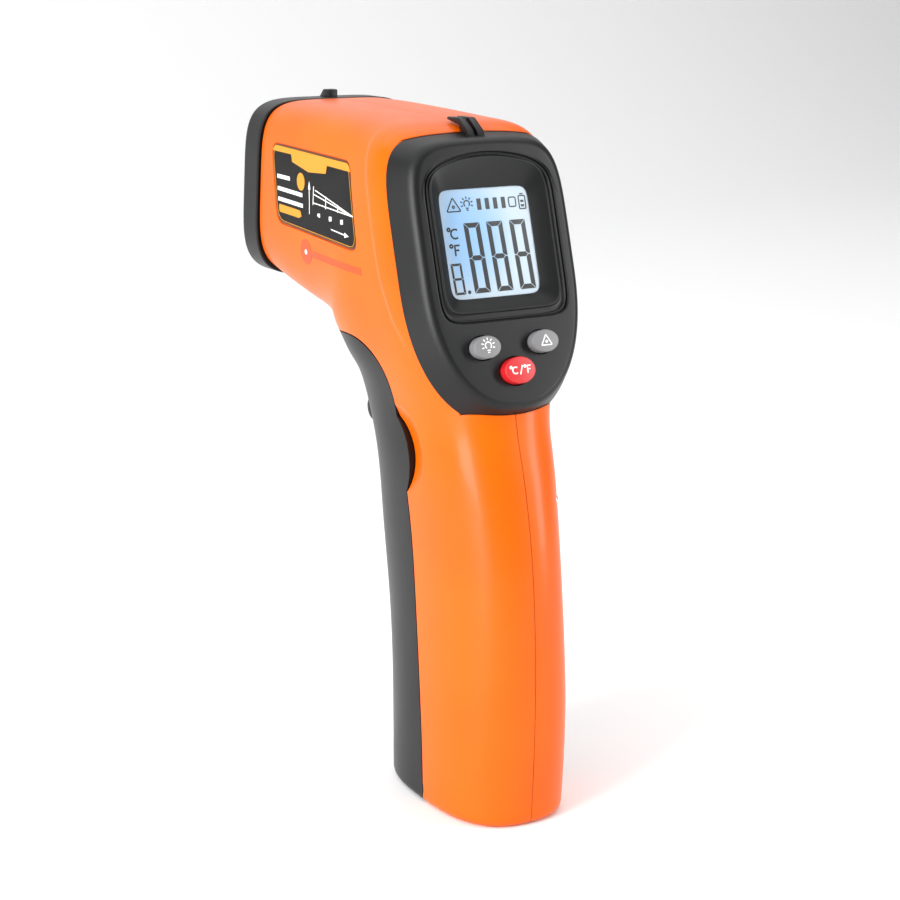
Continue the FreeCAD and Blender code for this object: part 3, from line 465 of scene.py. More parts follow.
# ---- shader maths
class Socket:
    """A shader value that can be added, multiplied and compared in plain expressions."""

    def __init__(self, tree: "MaterialTree", link: bpy.types.NodeSocket) -> None:
        """Wrap an output socket of the tree."""
        self.tree = tree
        self.link = link

    def _with(self, operation: str, other: "Value", swapped: bool = False) -> "Socket":
        """A Math node of this value and another."""
        pair = [other, self] if swapped else [self, other]
        return self.tree.node("ShaderNodeMath", {"operation": operation}, {0: pair[0], 1: pair[1]})

    def __add__(self, other: "Value") -> "Socket":
        """Sum."""
        return self._with("ADD", other)

    def __radd__(self, other: "Value") -> "Socket":
        """Sum, with this value on the right."""
        return self._with("ADD", other, True)

    def __sub__(self, other: "Value") -> "Socket":
        """Difference."""
        return self._with("SUBTRACT", other)

    def __rsub__(self, other: "Value") -> "Socket":
        """Difference, with this value on the right."""
        return self._with("SUBTRACT", other, True)

    def __mul__(self, other: "Value") -> "Socket":
        """Product."""
        return self._with("MULTIPLY", other)

    def __rmul__(self, other: "Value") -> "Socket":
        """Product, with this value on the right."""
        return self._with("MULTIPLY", other, True)

    def __truediv__(self, other: "Value") -> "Socket":
        """Quotient."""
        return self._with("DIVIDE", other)

    def __gt__(self, other: "Value") -> "Socket":
        """One where this value is the greater."""
        return self._with("GREATER_THAN", other)

    def __lt__(self, other: "Value") -> "Socket":
        """One where this value is the smaller."""
        return self._with("LESS_THAN", other)


Value = Union[Socket, Number, tuple]


class MaterialTree:
    """The node tree of one material."""

    def __init__(self, name: str) -> None:
        """Start an empty material of that name.

        Args:
            name: the material's name.
        """
        self.material = bpy.data.materials.new(name)
        self.material.use_nodes = True
        self.nodes = self.material.node_tree.nodes
        self.links = self.material.node_tree.links
        self.nodes.clear()

    def node(self, kind: str, settings: Optional[dict] = None, inputs: Optional[dict] = None,
             output: Union[int, str] = 0) -> Socket:
        """Add a node.

        Args:
            kind: the node's type.
            settings: attributes set before the sockets; "stops" fills a colour ramp.
            inputs: socket names or numbers with a value or a link for each.
            output: which output to hand back.

        Returns:
            The chosen output.
        """
        made = self.nodes.new(kind)
        for key, value in (settings or {}).items():
            if key == "stops":
                while len(made.color_ramp.elements) < len(value):
                    made.color_ramp.elements.new(0.5)
                for element, (place, colour) in zip(made.color_ramp.elements, value):
                    element.position = place
                    element.color = (*colour, 1.0)
            else:
                setattr(made, key, value)
        for key, value in (inputs or {}).items():
            if isinstance(value, Socket):
                self.links.new(value.link, made.inputs[key])
            elif isinstance(value, tuple) and len(value) == 3 and made.inputs[key].type == "RGBA":
                made.inputs[key].default_value = (*value, 1.0)
            else:
                made.inputs[key].default_value = value
        return Socket(self, made.outputs[output])

    def place(self) -> Socket:
        """Object coordinates, in metres."""
        return self.node("ShaderNodeTexCoord", output="Object")

    def axis(self, name: str) -> Socket:
        """One of X, Y and Z of the object coordinates, in millimetres."""
        return self.node("ShaderNodeSeparateXYZ", inputs={0: self.place()}, output=name) * 1000.0

    def noise(self, per_mm: float, detail: float = 3.0, roughness: float = 0.55,
              distortion: float = 0.0, stretch: tuple = (1.0, 1.0, 1.0)) -> Socket:
        """Noise of about that many features to a millimetre.

        Args:
            per_mm: waves in each millimetre.
            detail: octaves.
            roughness: share of the finer octaves.
            distortion: how much the pattern is warped.
            stretch: scale along X, Y and Z.

        Returns:
            The noise, about 0.5.
        """
        where = self.node("ShaderNodeMapping", inputs={"Vector": self.place(), "Scale": stretch})
        return self.node("ShaderNodeTexNoise", None,
                         {"Vector": where, "Scale": per_mm * 1000.0, "Detail": detail,
                                                      "Roughness": roughness, "Distortion": distortion})

    def step(self, value: Socket, low: float, high: float, to_low: float = 0.0,
             to_high: float = 1.0) -> Socket:
        """The value carried smoothly from one range to another, held at its ends."""
        return self.node("ShaderNodeMapRange", {"interpolation_type": "SMOOTHSTEP"},
                         {0: value, 1: low, 2: high, 3: to_low, 4: to_high})

    def mix(self, share: Value, first: Value, second: Value) -> Socket:
        """Two colours, mixed by a share."""
        return self.node("ShaderNodeMix", {"data_type": "RGBA"}, {0: share, 6: first, 7: second}, output=2)

    def bump(self, height: Socket, distance_mm: float, strength: float = 1.0,
             normal: Optional[Socket] = None) -> Socket:
        """Normals of a height from 0 to 1 over a distance.

        Args:
            height: the height pattern.
            distance_mm: how high it stands.
            strength: share of it that shows.
            normal: a normal to start from.

        Returns:
            The normal.
        """
        inputs: dict = {"Height": height, "Distance": distance_mm * MM, "Strength": strength}
        if normal is not None:
            inputs["Normal"] = normal
        return self.node("ShaderNodeBump", None, inputs)

    def soft_edges(self, radius_mm: float) -> Socket:
        """Normals that round every edge over a small radius."""
        return self.node("ShaderNodeBevel", {"samples": 4}, {"Radius": radius_mm * MM})

    def principled(self, inputs: dict) -> bpy.types.Material:
        """Close the tree with a Principled shader that has these inputs.

        Args:
            inputs: value or link of each socket.

        Returns:
            The material.
        """
        shader = self.node("ShaderNodeBsdfPrincipled", None, inputs)
        self.node_output(shader)
        return self.material

    def node_output(self, shader: Socket) -> None:
        """Link the shader to the material's output."""
        output = self.nodes.new("ShaderNodeOutputMaterial")
        self.links.new(shader.link, output.inputs["Surface"])


@dataclass(frozen=True)
class MouldedPlastic:
    """Moulded plastic with a fine spark texture, slow colour drift and a roughness that varies."""

    name: str
    colour: tuple
    shade: tuple
    roughness: float
    grain_per_mm: float = 5.0
    grain_mm: float = 0.012
    edge_mm: float = 0.25
    coat: float = 0.0
    specular: float = 0.5

    def material(self) -> bpy.types.Material:
        """Colour drifts with slow noise; roughness varies with a smear and a fine grain; the grain
        also lifts the surface, over edges rounded in the normals.

        Returns:
            The material.
        """
        tree = MaterialTree(self.name)
        drift = tree.step(tree.noise(0.03, 2.0), 0.35, 0.65)
        smear = tree.noise(0.25, 4.0, stretch=(1.0, 0.5, 0.25))
        grain = tree.noise(self.grain_per_mm, 2.0)
        rough = self.roughness + (smear - 0.5) * 0.1 + (grain - 0.5) * 0.06
        base = tree.soft_edges(self.edge_mm) if self.edge_mm else None
        inputs = {
            "Base Color": tree.mix(drift, self.colour, self.shade),
            "Roughness": rough,
            "Normal": tree.bump(grain, self.grain_mm, 0.6, base),
            "Specular IOR Level": self.specular,
            "Coat Weight": self.coat,
            "Coat Roughness": 0.12,
        }
        return tree.principled(inputs)


@dataclass(frozen=True)
class Metal:
    """Bare or plated metal with fine lines and a few stains."""

    name: str
    colour: tuple
    roughness: float
    lines: tuple = (1.0, 1.0, 8.0)

    def material(self) -> bpy.types.Material:
        """Stretched noise gives the lines, and slow noise the stains.

        Returns:
            The material.
        """
        tree = MaterialTree(self.name)
        lines = tree.noise(4.0, 3.0, stretch=self.lines)
        stain = tree.step(tree.noise(0.6, 4.0), 0.45, 0.75)
        darker = tuple(0.72 * c for c in self.colour)
        return tree.principled({
            "Base Color": tree.mix(stain * 0.5, self.colour, darker),
            "Metallic": 1.0,
            "Roughness": self.roughness + (lines - 0.5) * 0.2 + stain * 0.12,
            "Normal": tree.bump(lines, 0.006, 0.5),
        })


@dataclass(frozen=True)
class Ink:
    """Printed ink on film, glass or a key: flat colour broken up by the screen it was printed through; a
    glow, where given, is painted light.
    """

    name: str
    colour: tuple
    roughness: float = 0.4
    painted_glow: float = 0.0
    specular: float = 0.5

    def material(self) -> bpy.types.Material:
        """Fine noise thins the ink a little.

        Returns:
            The material.
        """
        tree = MaterialTree(self.name)
        thin = tree.step(tree.noise(9.0, 2.0), 0.5, 0.85) * 0.18
        paler = tuple(min(1.0, 0.9 * c + 0.002) for c in self.colour)
        inputs = {
            "Base Color": tree.mix(thin, self.colour, paler),
            "Roughness": self.roughness + thin * 0.6,
            "Specular IOR Level": self.specular,
            "Normal": tree.bump(tree.noise(6.0, 2.0), 0.004, 0.4),
        }
        # a glow brightens the ink though it is no lamp: painted light
        if self.painted_glow:
            inputs["Emission Color"] = self.colour
            inputs["Emission Strength"] = self.painted_glow
        return tree.principled(inputs)


@dataclass(frozen=True)
class ClearWindow:
    """Clear acrylic: nearly invisible but for its gloss and a few hairlines."""

    name: str = "clear_acrylic"
    alpha: float = 0.05

    def material(self) -> bpy.types.Material:
        """Hairlines are thresholded, stretched noise in the roughness.

        Returns:
            The material.
        """
        tree = MaterialTree(self.name)
        hairline = tree.step(tree.noise(1.5, 3.0, stretch=(1.0, 1.0, 14.0)), 0.62, 0.7)
        return tree.principled({
            "Base Color": (0.1, 0.12, 0.14),
            "Roughness": 0.05 + hairline * 0.12,
            "Alpha": self.alpha + hairline * 0.04,
            "Specular IOR Level": 0.5,
        })


@dataclass(frozen=True)
class CircuitBoard:
    """Solder mask over copper: green, with tracks and pads showing as paler lines."""

    name: str = "circuit_board_green"

    def material(self) -> bpy.types.Material:
        """Tracks are thin cells of a Voronoi pattern; the weave of the glass cloth is a wave.

        Returns:
            The material.
        """
        tree = MaterialTree(self.name)
        cells = tree.node("ShaderNodeTexVoronoi", {"feature": "DISTANCE_TO_EDGE"},
                          {"Vector": tree.place(), "Scale": 420.0}, output="Distance")
        track = 1.0 - tree.step(cells, 0.05, 0.09)
        weave = tree.noise(2.0, 1.0, stretch=(3.0, 1.0, 1.0))
        return tree.principled({
            "Base Color": tree.mix(track, (0.012, 0.13, 0.045), (0.03, 0.27, 0.1)),
            "Roughness": 0.3 + weave * 0.12,
            "Normal": tree.bump(track + weave * 0.3, 0.02, 0.5),
            "Coat Weight": 0.3,
        })


@dataclass(frozen=True)
class LiquidCrystal:
    """The display's ground: lit from behind, bluer towards one side, paler at its rim."""

    centre: tuple
    half_width: float
    half_height: float
    name: str = "liquid_crystal_ground"

    def material(self) -> bpy.types.Material:
        """The blue is a soft disc left of the middle; a very fine weave is the pixel grid.

        Returns:
            The material.
        """
        tree = MaterialTree(self.name)
        across = (tree.axis("X") - self.centre[0]) / self.half_width
        rise = (tree.axis("Z") - self.centre[2]) / self.half_height
        left = (across + 0.55) * (across + 0.55) + (rise - 0.15) * (rise - 0.15)
        blue = 1.0 - tree.step(left, 0.0, 1.6)
        pale = tree.step(across * across, 0.55, 1.1)
        ground = tree.mix(blue, (0.50, 0.60, 0.68), (0.27, 0.47, 0.72))
        ground = tree.mix(pale * 0.5, ground, (0.52, 0.57, 0.62))
        fine = tree.noise(3.0, 2.0)
        return tree.principled({
            "Base Color": ground,
            "Roughness": 0.22 + fine * 0.08,
            "Emission Color": ground,
            "Emission Strength": 0.1,
            "Normal": tree.bump(fine, 0.003, 0.3),
        })


@dataclass(frozen=True)
class Segments:
    """Display segments: black at the lower left, fading to grey at the upper right."""

    centre: tuple
    name: str = "display_segments"

    def material(self) -> bpy.types.Material:
        """The fade follows the diagonal of the display, with a slight mottling.

        Returns:
            The material.
        """
        tree = MaterialTree(self.name)
        diagonal = (tree.axis("X") - self.centre[0]) * 0.6 + (tree.axis("Z") - self.centre[2]) * 0.9
        fade = tree.step(diagonal, -1.0, 11.0) + (tree.noise(2.0, 2.0) - 0.5) * 0.1
        return tree.principled({
            "Base Color": tree.mix(fade, (0.003, 0.0035, 0.004), (0.045, 0.05, 0.055)),
            "Roughness": 0.35 + fade * 0.1,
        })


@dataclass(frozen=True)
class CellWrap:
    """The printed sleeve of a battery: a dark green body with a gold band and a fine rule."""

    low: float
    high: float
    name: str = "cell_wrap"

    def material(self) -> bpy.types.Material:
        """Bands are steps along Z.

        Returns:
            The material.
        """
        tree = MaterialTree(self.name)
        height = tree.axis("Z")
        band = (height > self.high - 9.0) * (height < self.high - 0.6)
        rule = (height > self.low + 4.0) * (height < self.low + 5.0)
        scuff = tree.step(tree.noise(1.2, 4.0), 0.55, 0.8)
        ground = tree.mix(band, (0.012, 0.06, 0.03), (0.62, 0.33, 0.06))
        ground = tree.mix(rule, ground, (0.6, 0.6, 0.55))
        return tree.principled({
            "Base Color": ground,
            "Metallic": band * 0.6,
            "Roughness": 0.28 + scuff * 0.2,
            "Normal": tree.bump(scuff, 0.01, 0.4),
        })


def dress(piece: Piece, material: bpy.types.Material) -> Piece:
    """Give the whole object one material.

    Args:
        piece: the object to work on.
        material: the finish.

    Returns:
        The same object.
    """
    piece.data.materials.clear()
    piece.data.materials.append(material)
    return piece


def settle(piece: Piece, body: str, slot: str, *stands_for: str) -> Piece:
    """Let the piece ride on a body, and hide the model's nodes that it stands for.

    Args:
        piece: the object to work on.
        body: the body that carries it.
        slot: not used.
        *stands_for: nodes that it replaces.

    Returns:
        The same object.
    """
    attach(piece, body)
    if stands_for:
        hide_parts(*stands_for)
    LOG.info("%s: %d faces, rides on %s", piece.name, len(piece.data.polygons), body)
    return piece


class Finishes:
    """The shared materials, made once."""

    def __init__(self) -> None:
        """Build the shared finishes."""
        self.orange = MouldedPlastic("orange_abs", (0.80, 0.118, 0.0), (0.74, 0.105, 0.0), 0.34, 6.0, 0.004,
                                     0.3,
                                     coat=0.1, specular=0.2).material()
        self.mark = MouldedPlastic("orange_mark", (0.50, 0.062, 0.0), (0.46, 0.056, 0.0), 0.4, 6.0, 0.004,
                                   0.0).material()
        self.black = MouldedPlastic("charcoal_abs", (0.0065, 0.0068, 0.0072), (0.0055, 0.0058, 0.0062), 0.4,
                                    7.0, 0.006, 0.2, specular=0.3).material()
        self.satin = MouldedPlastic("black_satin", (0.004, 0.004, 0.0045), (0.003, 0.003, 0.0035), 0.36,
                                    7.0, 0.005, 0.3, specular=0.28).material()
        self.grey_key = MouldedPlastic("grey_key_rubber", (0.2, 0.2, 0.205), (0.18, 0.18, 0.185), 0.42,
                                       8.0, 0.004, 0.0).material()
        self.red_key = MouldedPlastic("red_key_rubber", (0.58, 0.014, 0.018), (0.52, 0.011, 0.014), 0.4,
                                      8.0, 0.004, 0.0).material()
        self.resin = MouldedPlastic("black_resin", (0.012, 0.012, 0.013), (0.01, 0.01, 0.01), 0.55, 9.0,
                                    0.01).material()
        self.silicone = MouldedPlastic("grey_silicone", (0.12, 0.12, 0.125), (0.1, 0.1, 0.105), 0.6, 9.0,
                                       0.006).material()
        self.white = MouldedPlastic("white_frame", (0.68, 0.68, 0.65), (0.62, 0.62, 0.6), 0.45, 5.0,
                                    0.01).material()
        self.guide = MouldedPlastic("frosted_guide", (0.6, 0.74, 0.82), (0.55, 0.7, 0.8), 0.5, 9.0,
                                    0.01).material()
        self.lens = MouldedPlastic("milky_lens", (0.5, 0.52, 0.5), (0.44, 0.46, 0.45), 0.3, 4.0, 0.004,
                                   0.05).material()
        self.steel = Metal("zinc_plated_steel", (0.56, 0.56, 0.58), 0.32).material()
        self.spring = Metal("nickel_spring_steel", (0.68, 0.67, 0.64), 0.26, (6.0, 6.0, 1.0)).material()
        self.brass = Metal("turned_brass", (0.72, 0.5, 0.2), 0.3, (1.0, 9.0, 1.0)).material()
        self.window = ClearWindow().material()
        self.board = CircuitBoard().material()
        self.film = Ink("black_film", (0.001, 0.001, 0.001), 0.35, specular=0.15).material()
        # dark brown band round each label film: painted shadow of the label's recess
        self.rim = Ink("label_painted_shadow_rim", (0.09, 0.02, 0.0), 0.35).material()
        self.gold = Ink("gold_ink", (0.60, 0.25, 0.01), 0.5).material()
        # the white ink's 0.1 is a painted glow: the ink shines though it is no lamp
        self.white_ink = Ink("white_ink", (0.82, 0.82, 0.8), 0.45, 0.1).material()


# ---- places
@dataclass(frozen=True)
class LocalFrame:
    """Axes for laying out the pieces of one face."""

    origin: Array
    across: Array
    up: Array
    out: Array

    def place(self, x: Array, y: Array, z: Array) -> Array:
        """Points at x across, y up and z out of the face."""
        x, y, z = np.broadcast_arrays(np.asarray(x, float), np.asarray(y, float), np.asarray(z, float))
        return self.origin + x[..., None] * self.across + y[..., None] * self.up + z[..., None] * self.out


def middle(node: str) -> Array:
    """The middle of a node's box, in millimetres."""
    low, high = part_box(node)
    return np.array((low + high) / 2) / MM


def display_frame() -> LocalFrame:
    """The display's face: out of it is against the keys' travel, and its datum lies below and in
    front of the liquid crystal glass.

    Returns:
        The frame.
    """
    glass_up, glass_out = 17.0, -5.05
    out = -np.array(next(j for j in frame["joints"] if j["name"] == "unit_press")["axis"], float)
    out /= np.linalg.norm(out)
    across = np.array([1.0, 0.0, 0.0])
    up = np.cross(out, across)
    return LocalFrame(middle("lcd_glass") - glass_up * up - glass_out * out, across, up, out)


@dataclass(frozen=True)
class Outline:
    """A shield or window outline about the upright middle line of a face.

    It is a superellipse whose upper side is also arched: its half height falls with the square of
    the distance from the middle line.
    """

    half_width: float
    bottom: float
    top: float
    lower_power: float
    upper_power: float
    arch: float = 0.0

    def points(self, angle: Array, grow: float = 0.0) -> tuple[Array, Array]:
        """x and y in each direction from the outline's own centre, moved outwards by an amount.

        Args:
            angle: directions from the centre.
            grow: how far the outline is moved outwards.

        Returns:
            x and y of each point.
        """
        centre = (self.top + self.bottom) / 2
        half_height = (self.top - self.bottom) / 2 + grow
        half_width = self.half_width + grow
        x = np.zeros_like(angle)
        for _ in range(8):
            drop = self.arch * (x / half_width) ** 2 * (np.sin(angle) > 0)
            x, y = superellipse(angle, half_width, half_height - drop, self.lower_power, self.upper_power)
        return x, centre + y


# ---- the housing's form
@dataclass(frozen=True)
class HousingForm:
    """The housing's outer surface: superellipses across the barrel that turn down into the handle.

    Each section stands on the line from its lower (front) end to its upper (rear) end. Cubic
    splines join the sections; their parameter is the mean distance between sections.
    """

    # lower y, lower z, upper y, upper z, half width, lower power, upper power
    sections: tuple = (
        (43.3, 109.6, 38.5, 151.1, 19.6, 4.0, 5.0),
        (32.0, 107.1, 27.5, 151.1, 19.7, 4.0, 5.0),
        (22.8, 105.1, 16.5, 150.9, 19.8, 3.8, 5.0),
        (18.8, 104.0, 1.0, 150.4, 20.0, 3.5, 5.0),
        (16.0, 102.6, -12.2, 149.9, 20.3, 3.2, 5.0),
        (13.9, 100.9, -22.8, 147.3, 20.6, 3.0, 5.5),
        (12.6, 99.6, -28.4, 136.6, 20.6, 3.0, 5.0),
        (11.2, 97.3, -33.0, 122.2, 20.0, 2.8, 4.5),
        (10.2, 95.2, -37.2, 108.5, 18.7, 2.7, 3.6),
        (9.6, 93.4, -40.6, 98.0, 17.2, 2.6, 3.0),
        (8.9, 90.0, -42.1, 90.0, 15.9, 2.6, 2.7),
        (5.3, 79.0, -45.1, 79.0, 15.0, 2.6, 2.6),
        (3.4, 62.0, -48.9, 62.0, 14.3, 2.6, 2.6),
        (0.4, 45.0, -50.6, 45.0, 14.4, 2.6, 2.6),
        (-2.4, 25.0, -51.0, 25.0, 15.0, 2.6, 2.6),
        (-2.6, 10.0, -50.4, 10.0, 15.0, 2.6, 2.6),
        (-2.3, 0.0, -49.8, 0.0, 14.7, 2.6, 2.6),
    )
    foot_round: float = 2.0
    collar_lift: float = 0.45
    collar_width: float = 1.6
    # z and y of the line where the collar behind the display steps out of the barrel
    collar: tuple = ((90.0, -34.0), (102.4, -28.0), (109.3, -23.3), (117.4, -19.8), (127.7, -17.3),
                     (138.0, -14.8), (143.6, -13.6), (152.0, -12.0))

    def rows(self, angle: Array, inset: float = 0.0, floor: float = 0.0, reach: float = 0.0) -> tuple[Array,
                                                                                                      Array]:
        """The sections' points in the given directions.

        Args:
            angle: directions round a section.
            inset: how much smaller the sections are.
            floor: how much the lowest section is raised.
            reach: how far the first section is moved forward.

        Returns:
            The spline's stations, and points as (section, direction, xyz).
        """
        table = np.array(self.sections)
        lower = np.column_stack([np.zeros(len(table)), table[:, :2]])
        upper = np.column_stack([np.zeros(len(table)), table[:, 2:4]])
        lower[0, 1] += reach
        upper[0, 1] += reach
        lower[-1, 2] += floor
        upper[-1, 2] += floor
        length = np.linalg.norm(upper - lower, axis=1)
        along = (upper - lower) / length[:, None]
        half_width = (table[:, 4] - inset)[:, None]
        half_height = (length / 2 - inset)[:, None]
        across, rise = superellipse(angle[None, :], half_width, half_height, table[:, 5:6], table[:, 6:7])
        points = (lower + upper)[:, None] / 2 + rise[..., None] * along[:, None]
        points[..., 0] = across
        steps = np.linalg.norm(np.diff(points, axis=0), axis=2).mean(axis=1)
        return np.concatenate([[0.0], np.cumsum(steps)]), points

    def grid(self, around: int, along: int, inset: float = 0.0, floor: float = 0.0, reach: float = 0.0,
             detailed: bool = False) -> Array:
        """Points of the whole surface as (place along, direction, xyz).

        With detailed, the foot's edge is rounded: near the base a section shrinks by
        r - sqrt(r^2 - h^2). The collar beside the display is lifted across a smooth step.

        Args:
            around: points round a section.
            along: sections.
            inset: how much smaller the form is.
            floor: how much its foot is raised.
            reach: how far its nose end is moved forward.
            detailed: round the foot and lift the collar.

        Returns:
            The points.
        """
        stations, points = self.rows(turn(around), inset, floor, reach)
        wanted = np.linspace(0.0, stations[-1], along)
        if detailed:
            foot = stations[-1] - self.foot_round * (1 - np.sin(np.linspace(0, np.pi / 2, 9)))[:-1]
            wanted = np.concatenate([wanted[wanted < foot[0] - 0.2], foot, stations[-1:]])
        surface = spline_at(stations, points, wanted)
        if detailed:
            surface = self.with_foot(self.with_collar(surface))
        return surface

    def with_collar(self, surface: Array) -> Array:
        """Lift the flanks behind the collar line.

        Args:
            surface: points of the form.

        Returns:
            The points with the collar.
        """
        x, y, z = np.moveaxis(surface, 2, 0)
        line = np.interp(z, [place[0] for place in self.collar], [place[1] for place in self.collar])
        fade = smoothstep((z - 96.0) / 12.0) * smoothstep((151.5 - z) / 7.0)
        lift = self.collar_lift * fade * smoothstep((line - y) / self.collar_width + 0.5)
        flank = np.clip(np.abs(x) / 19.0, 0.0, 1.0) ** 6
        lifted = surface.copy()
        lifted[..., 0] += np.sign(x) * lift * flank
        return lifted

    def with_foot(self, surface: Array) -> Array:
        """Round the edge of the foot.

        Args:
            surface: points of the form.

        Returns:
            The points with a rounded foot.
        """
        centre = surface.mean(axis=1, keepdims=True)
        height = np.clip(self.foot_round - surface[..., 2:], 0.0, self.foot_round)
        inset = self.foot_round - np.sqrt(np.maximum(self.foot_round ** 2 - height ** 2, 0.0))
        offset = surface - centre
        offset[..., 2] = 0.0
        reach = np.maximum(np.linalg.norm(offset, axis=2, keepdims=True), 1e-6)
        return surface - offset / reach * inset

    def flank(self, y: Array, z: Array, side: int, lift: float) -> Array:
        """Points of the flank at the given y and z, lifted off the surface.

        Newton's method moves a section's place and direction until y and z match; the start is the
        nearest point of a coarse grid.

        Args:
            y: y of each point.
            z: z of each point.
            side: -1 for the left flank, 1 for the right.
            lift: height above the face.

        Returns:
            Points in the model.
        """
        y, z = np.broadcast_arrays(np.asarray(y, float), np.asarray(z, float))
        target = np.stack([y.ravel(), z.ravel()], axis=1)
        angles = np.linspace(-0.45 * np.pi, 0.45 * np.pi, 61)
        stations, coarse = self.rows(angles)
        places = np.linspace(0.0, stations[-1], 90)
        coarse = spline_at(stations, coarse, places)
        away = ((coarse[None, :, :, 1:] - target[:, None, None]) ** 2).sum(axis=3).reshape(len(target), -1)
        nearest = away.argmin(axis=1)
        place, angle = places[nearest // 61], angles[nearest % 61]
        for _ in range(6):
            here = self.at(place, angle)
            by_place = (self.at(place + 0.01, angle) - here)[:, 1:] / 0.01
            by_angle = (self.at(place, angle + 1e-4) - here)[:, 1:] / 1e-4
            miss = target - here[:, 1:]
            scale = by_place[:, 0] * by_angle[:, 1] - by_place[:, 1] * by_angle[:, 0]
            place = place + (miss[:, 0] * by_angle[:, 1] - miss[:, 1] * by_angle[:, 0]) / scale
            angle = angle + (by_place[:, 0] * miss[:, 1] - by_place[:, 1] * miss[:, 0]) / scale
            place, angle = np.clip(place, 0.0, stations[-1]), np.clip(angle, -1.5, 1.5)
        x = self.with_collar(self.at(place, angle)[:, None])[:, 0, 0]
        return np.column_stack([side * (x + lift), target]).reshape(y.shape + (3,))

    def at(self, place: Array, angle: Array) -> Array:
        """Points of the surface at pairs of a place along it and a direction.

        Args:
            place: places along the form.
            angle: directions round it.

        Returns:
            One point for each pair.
        """
        stations, points = self.rows(angle)
        nominal, _ = self.rows(turn(40))
        return spline_at(stations * nominal[-1] / stations[-1], points, place * nominal[-1] / stations[-1],
                         pairwise=True)

    def solid(self, name: str, around: int = 300, along: int = 380, **shape: float) -> Piece:
        """A closed solid of the form."""
        return skin(name, self.grid(around, along, **shape), sharp_degrees=60.0)


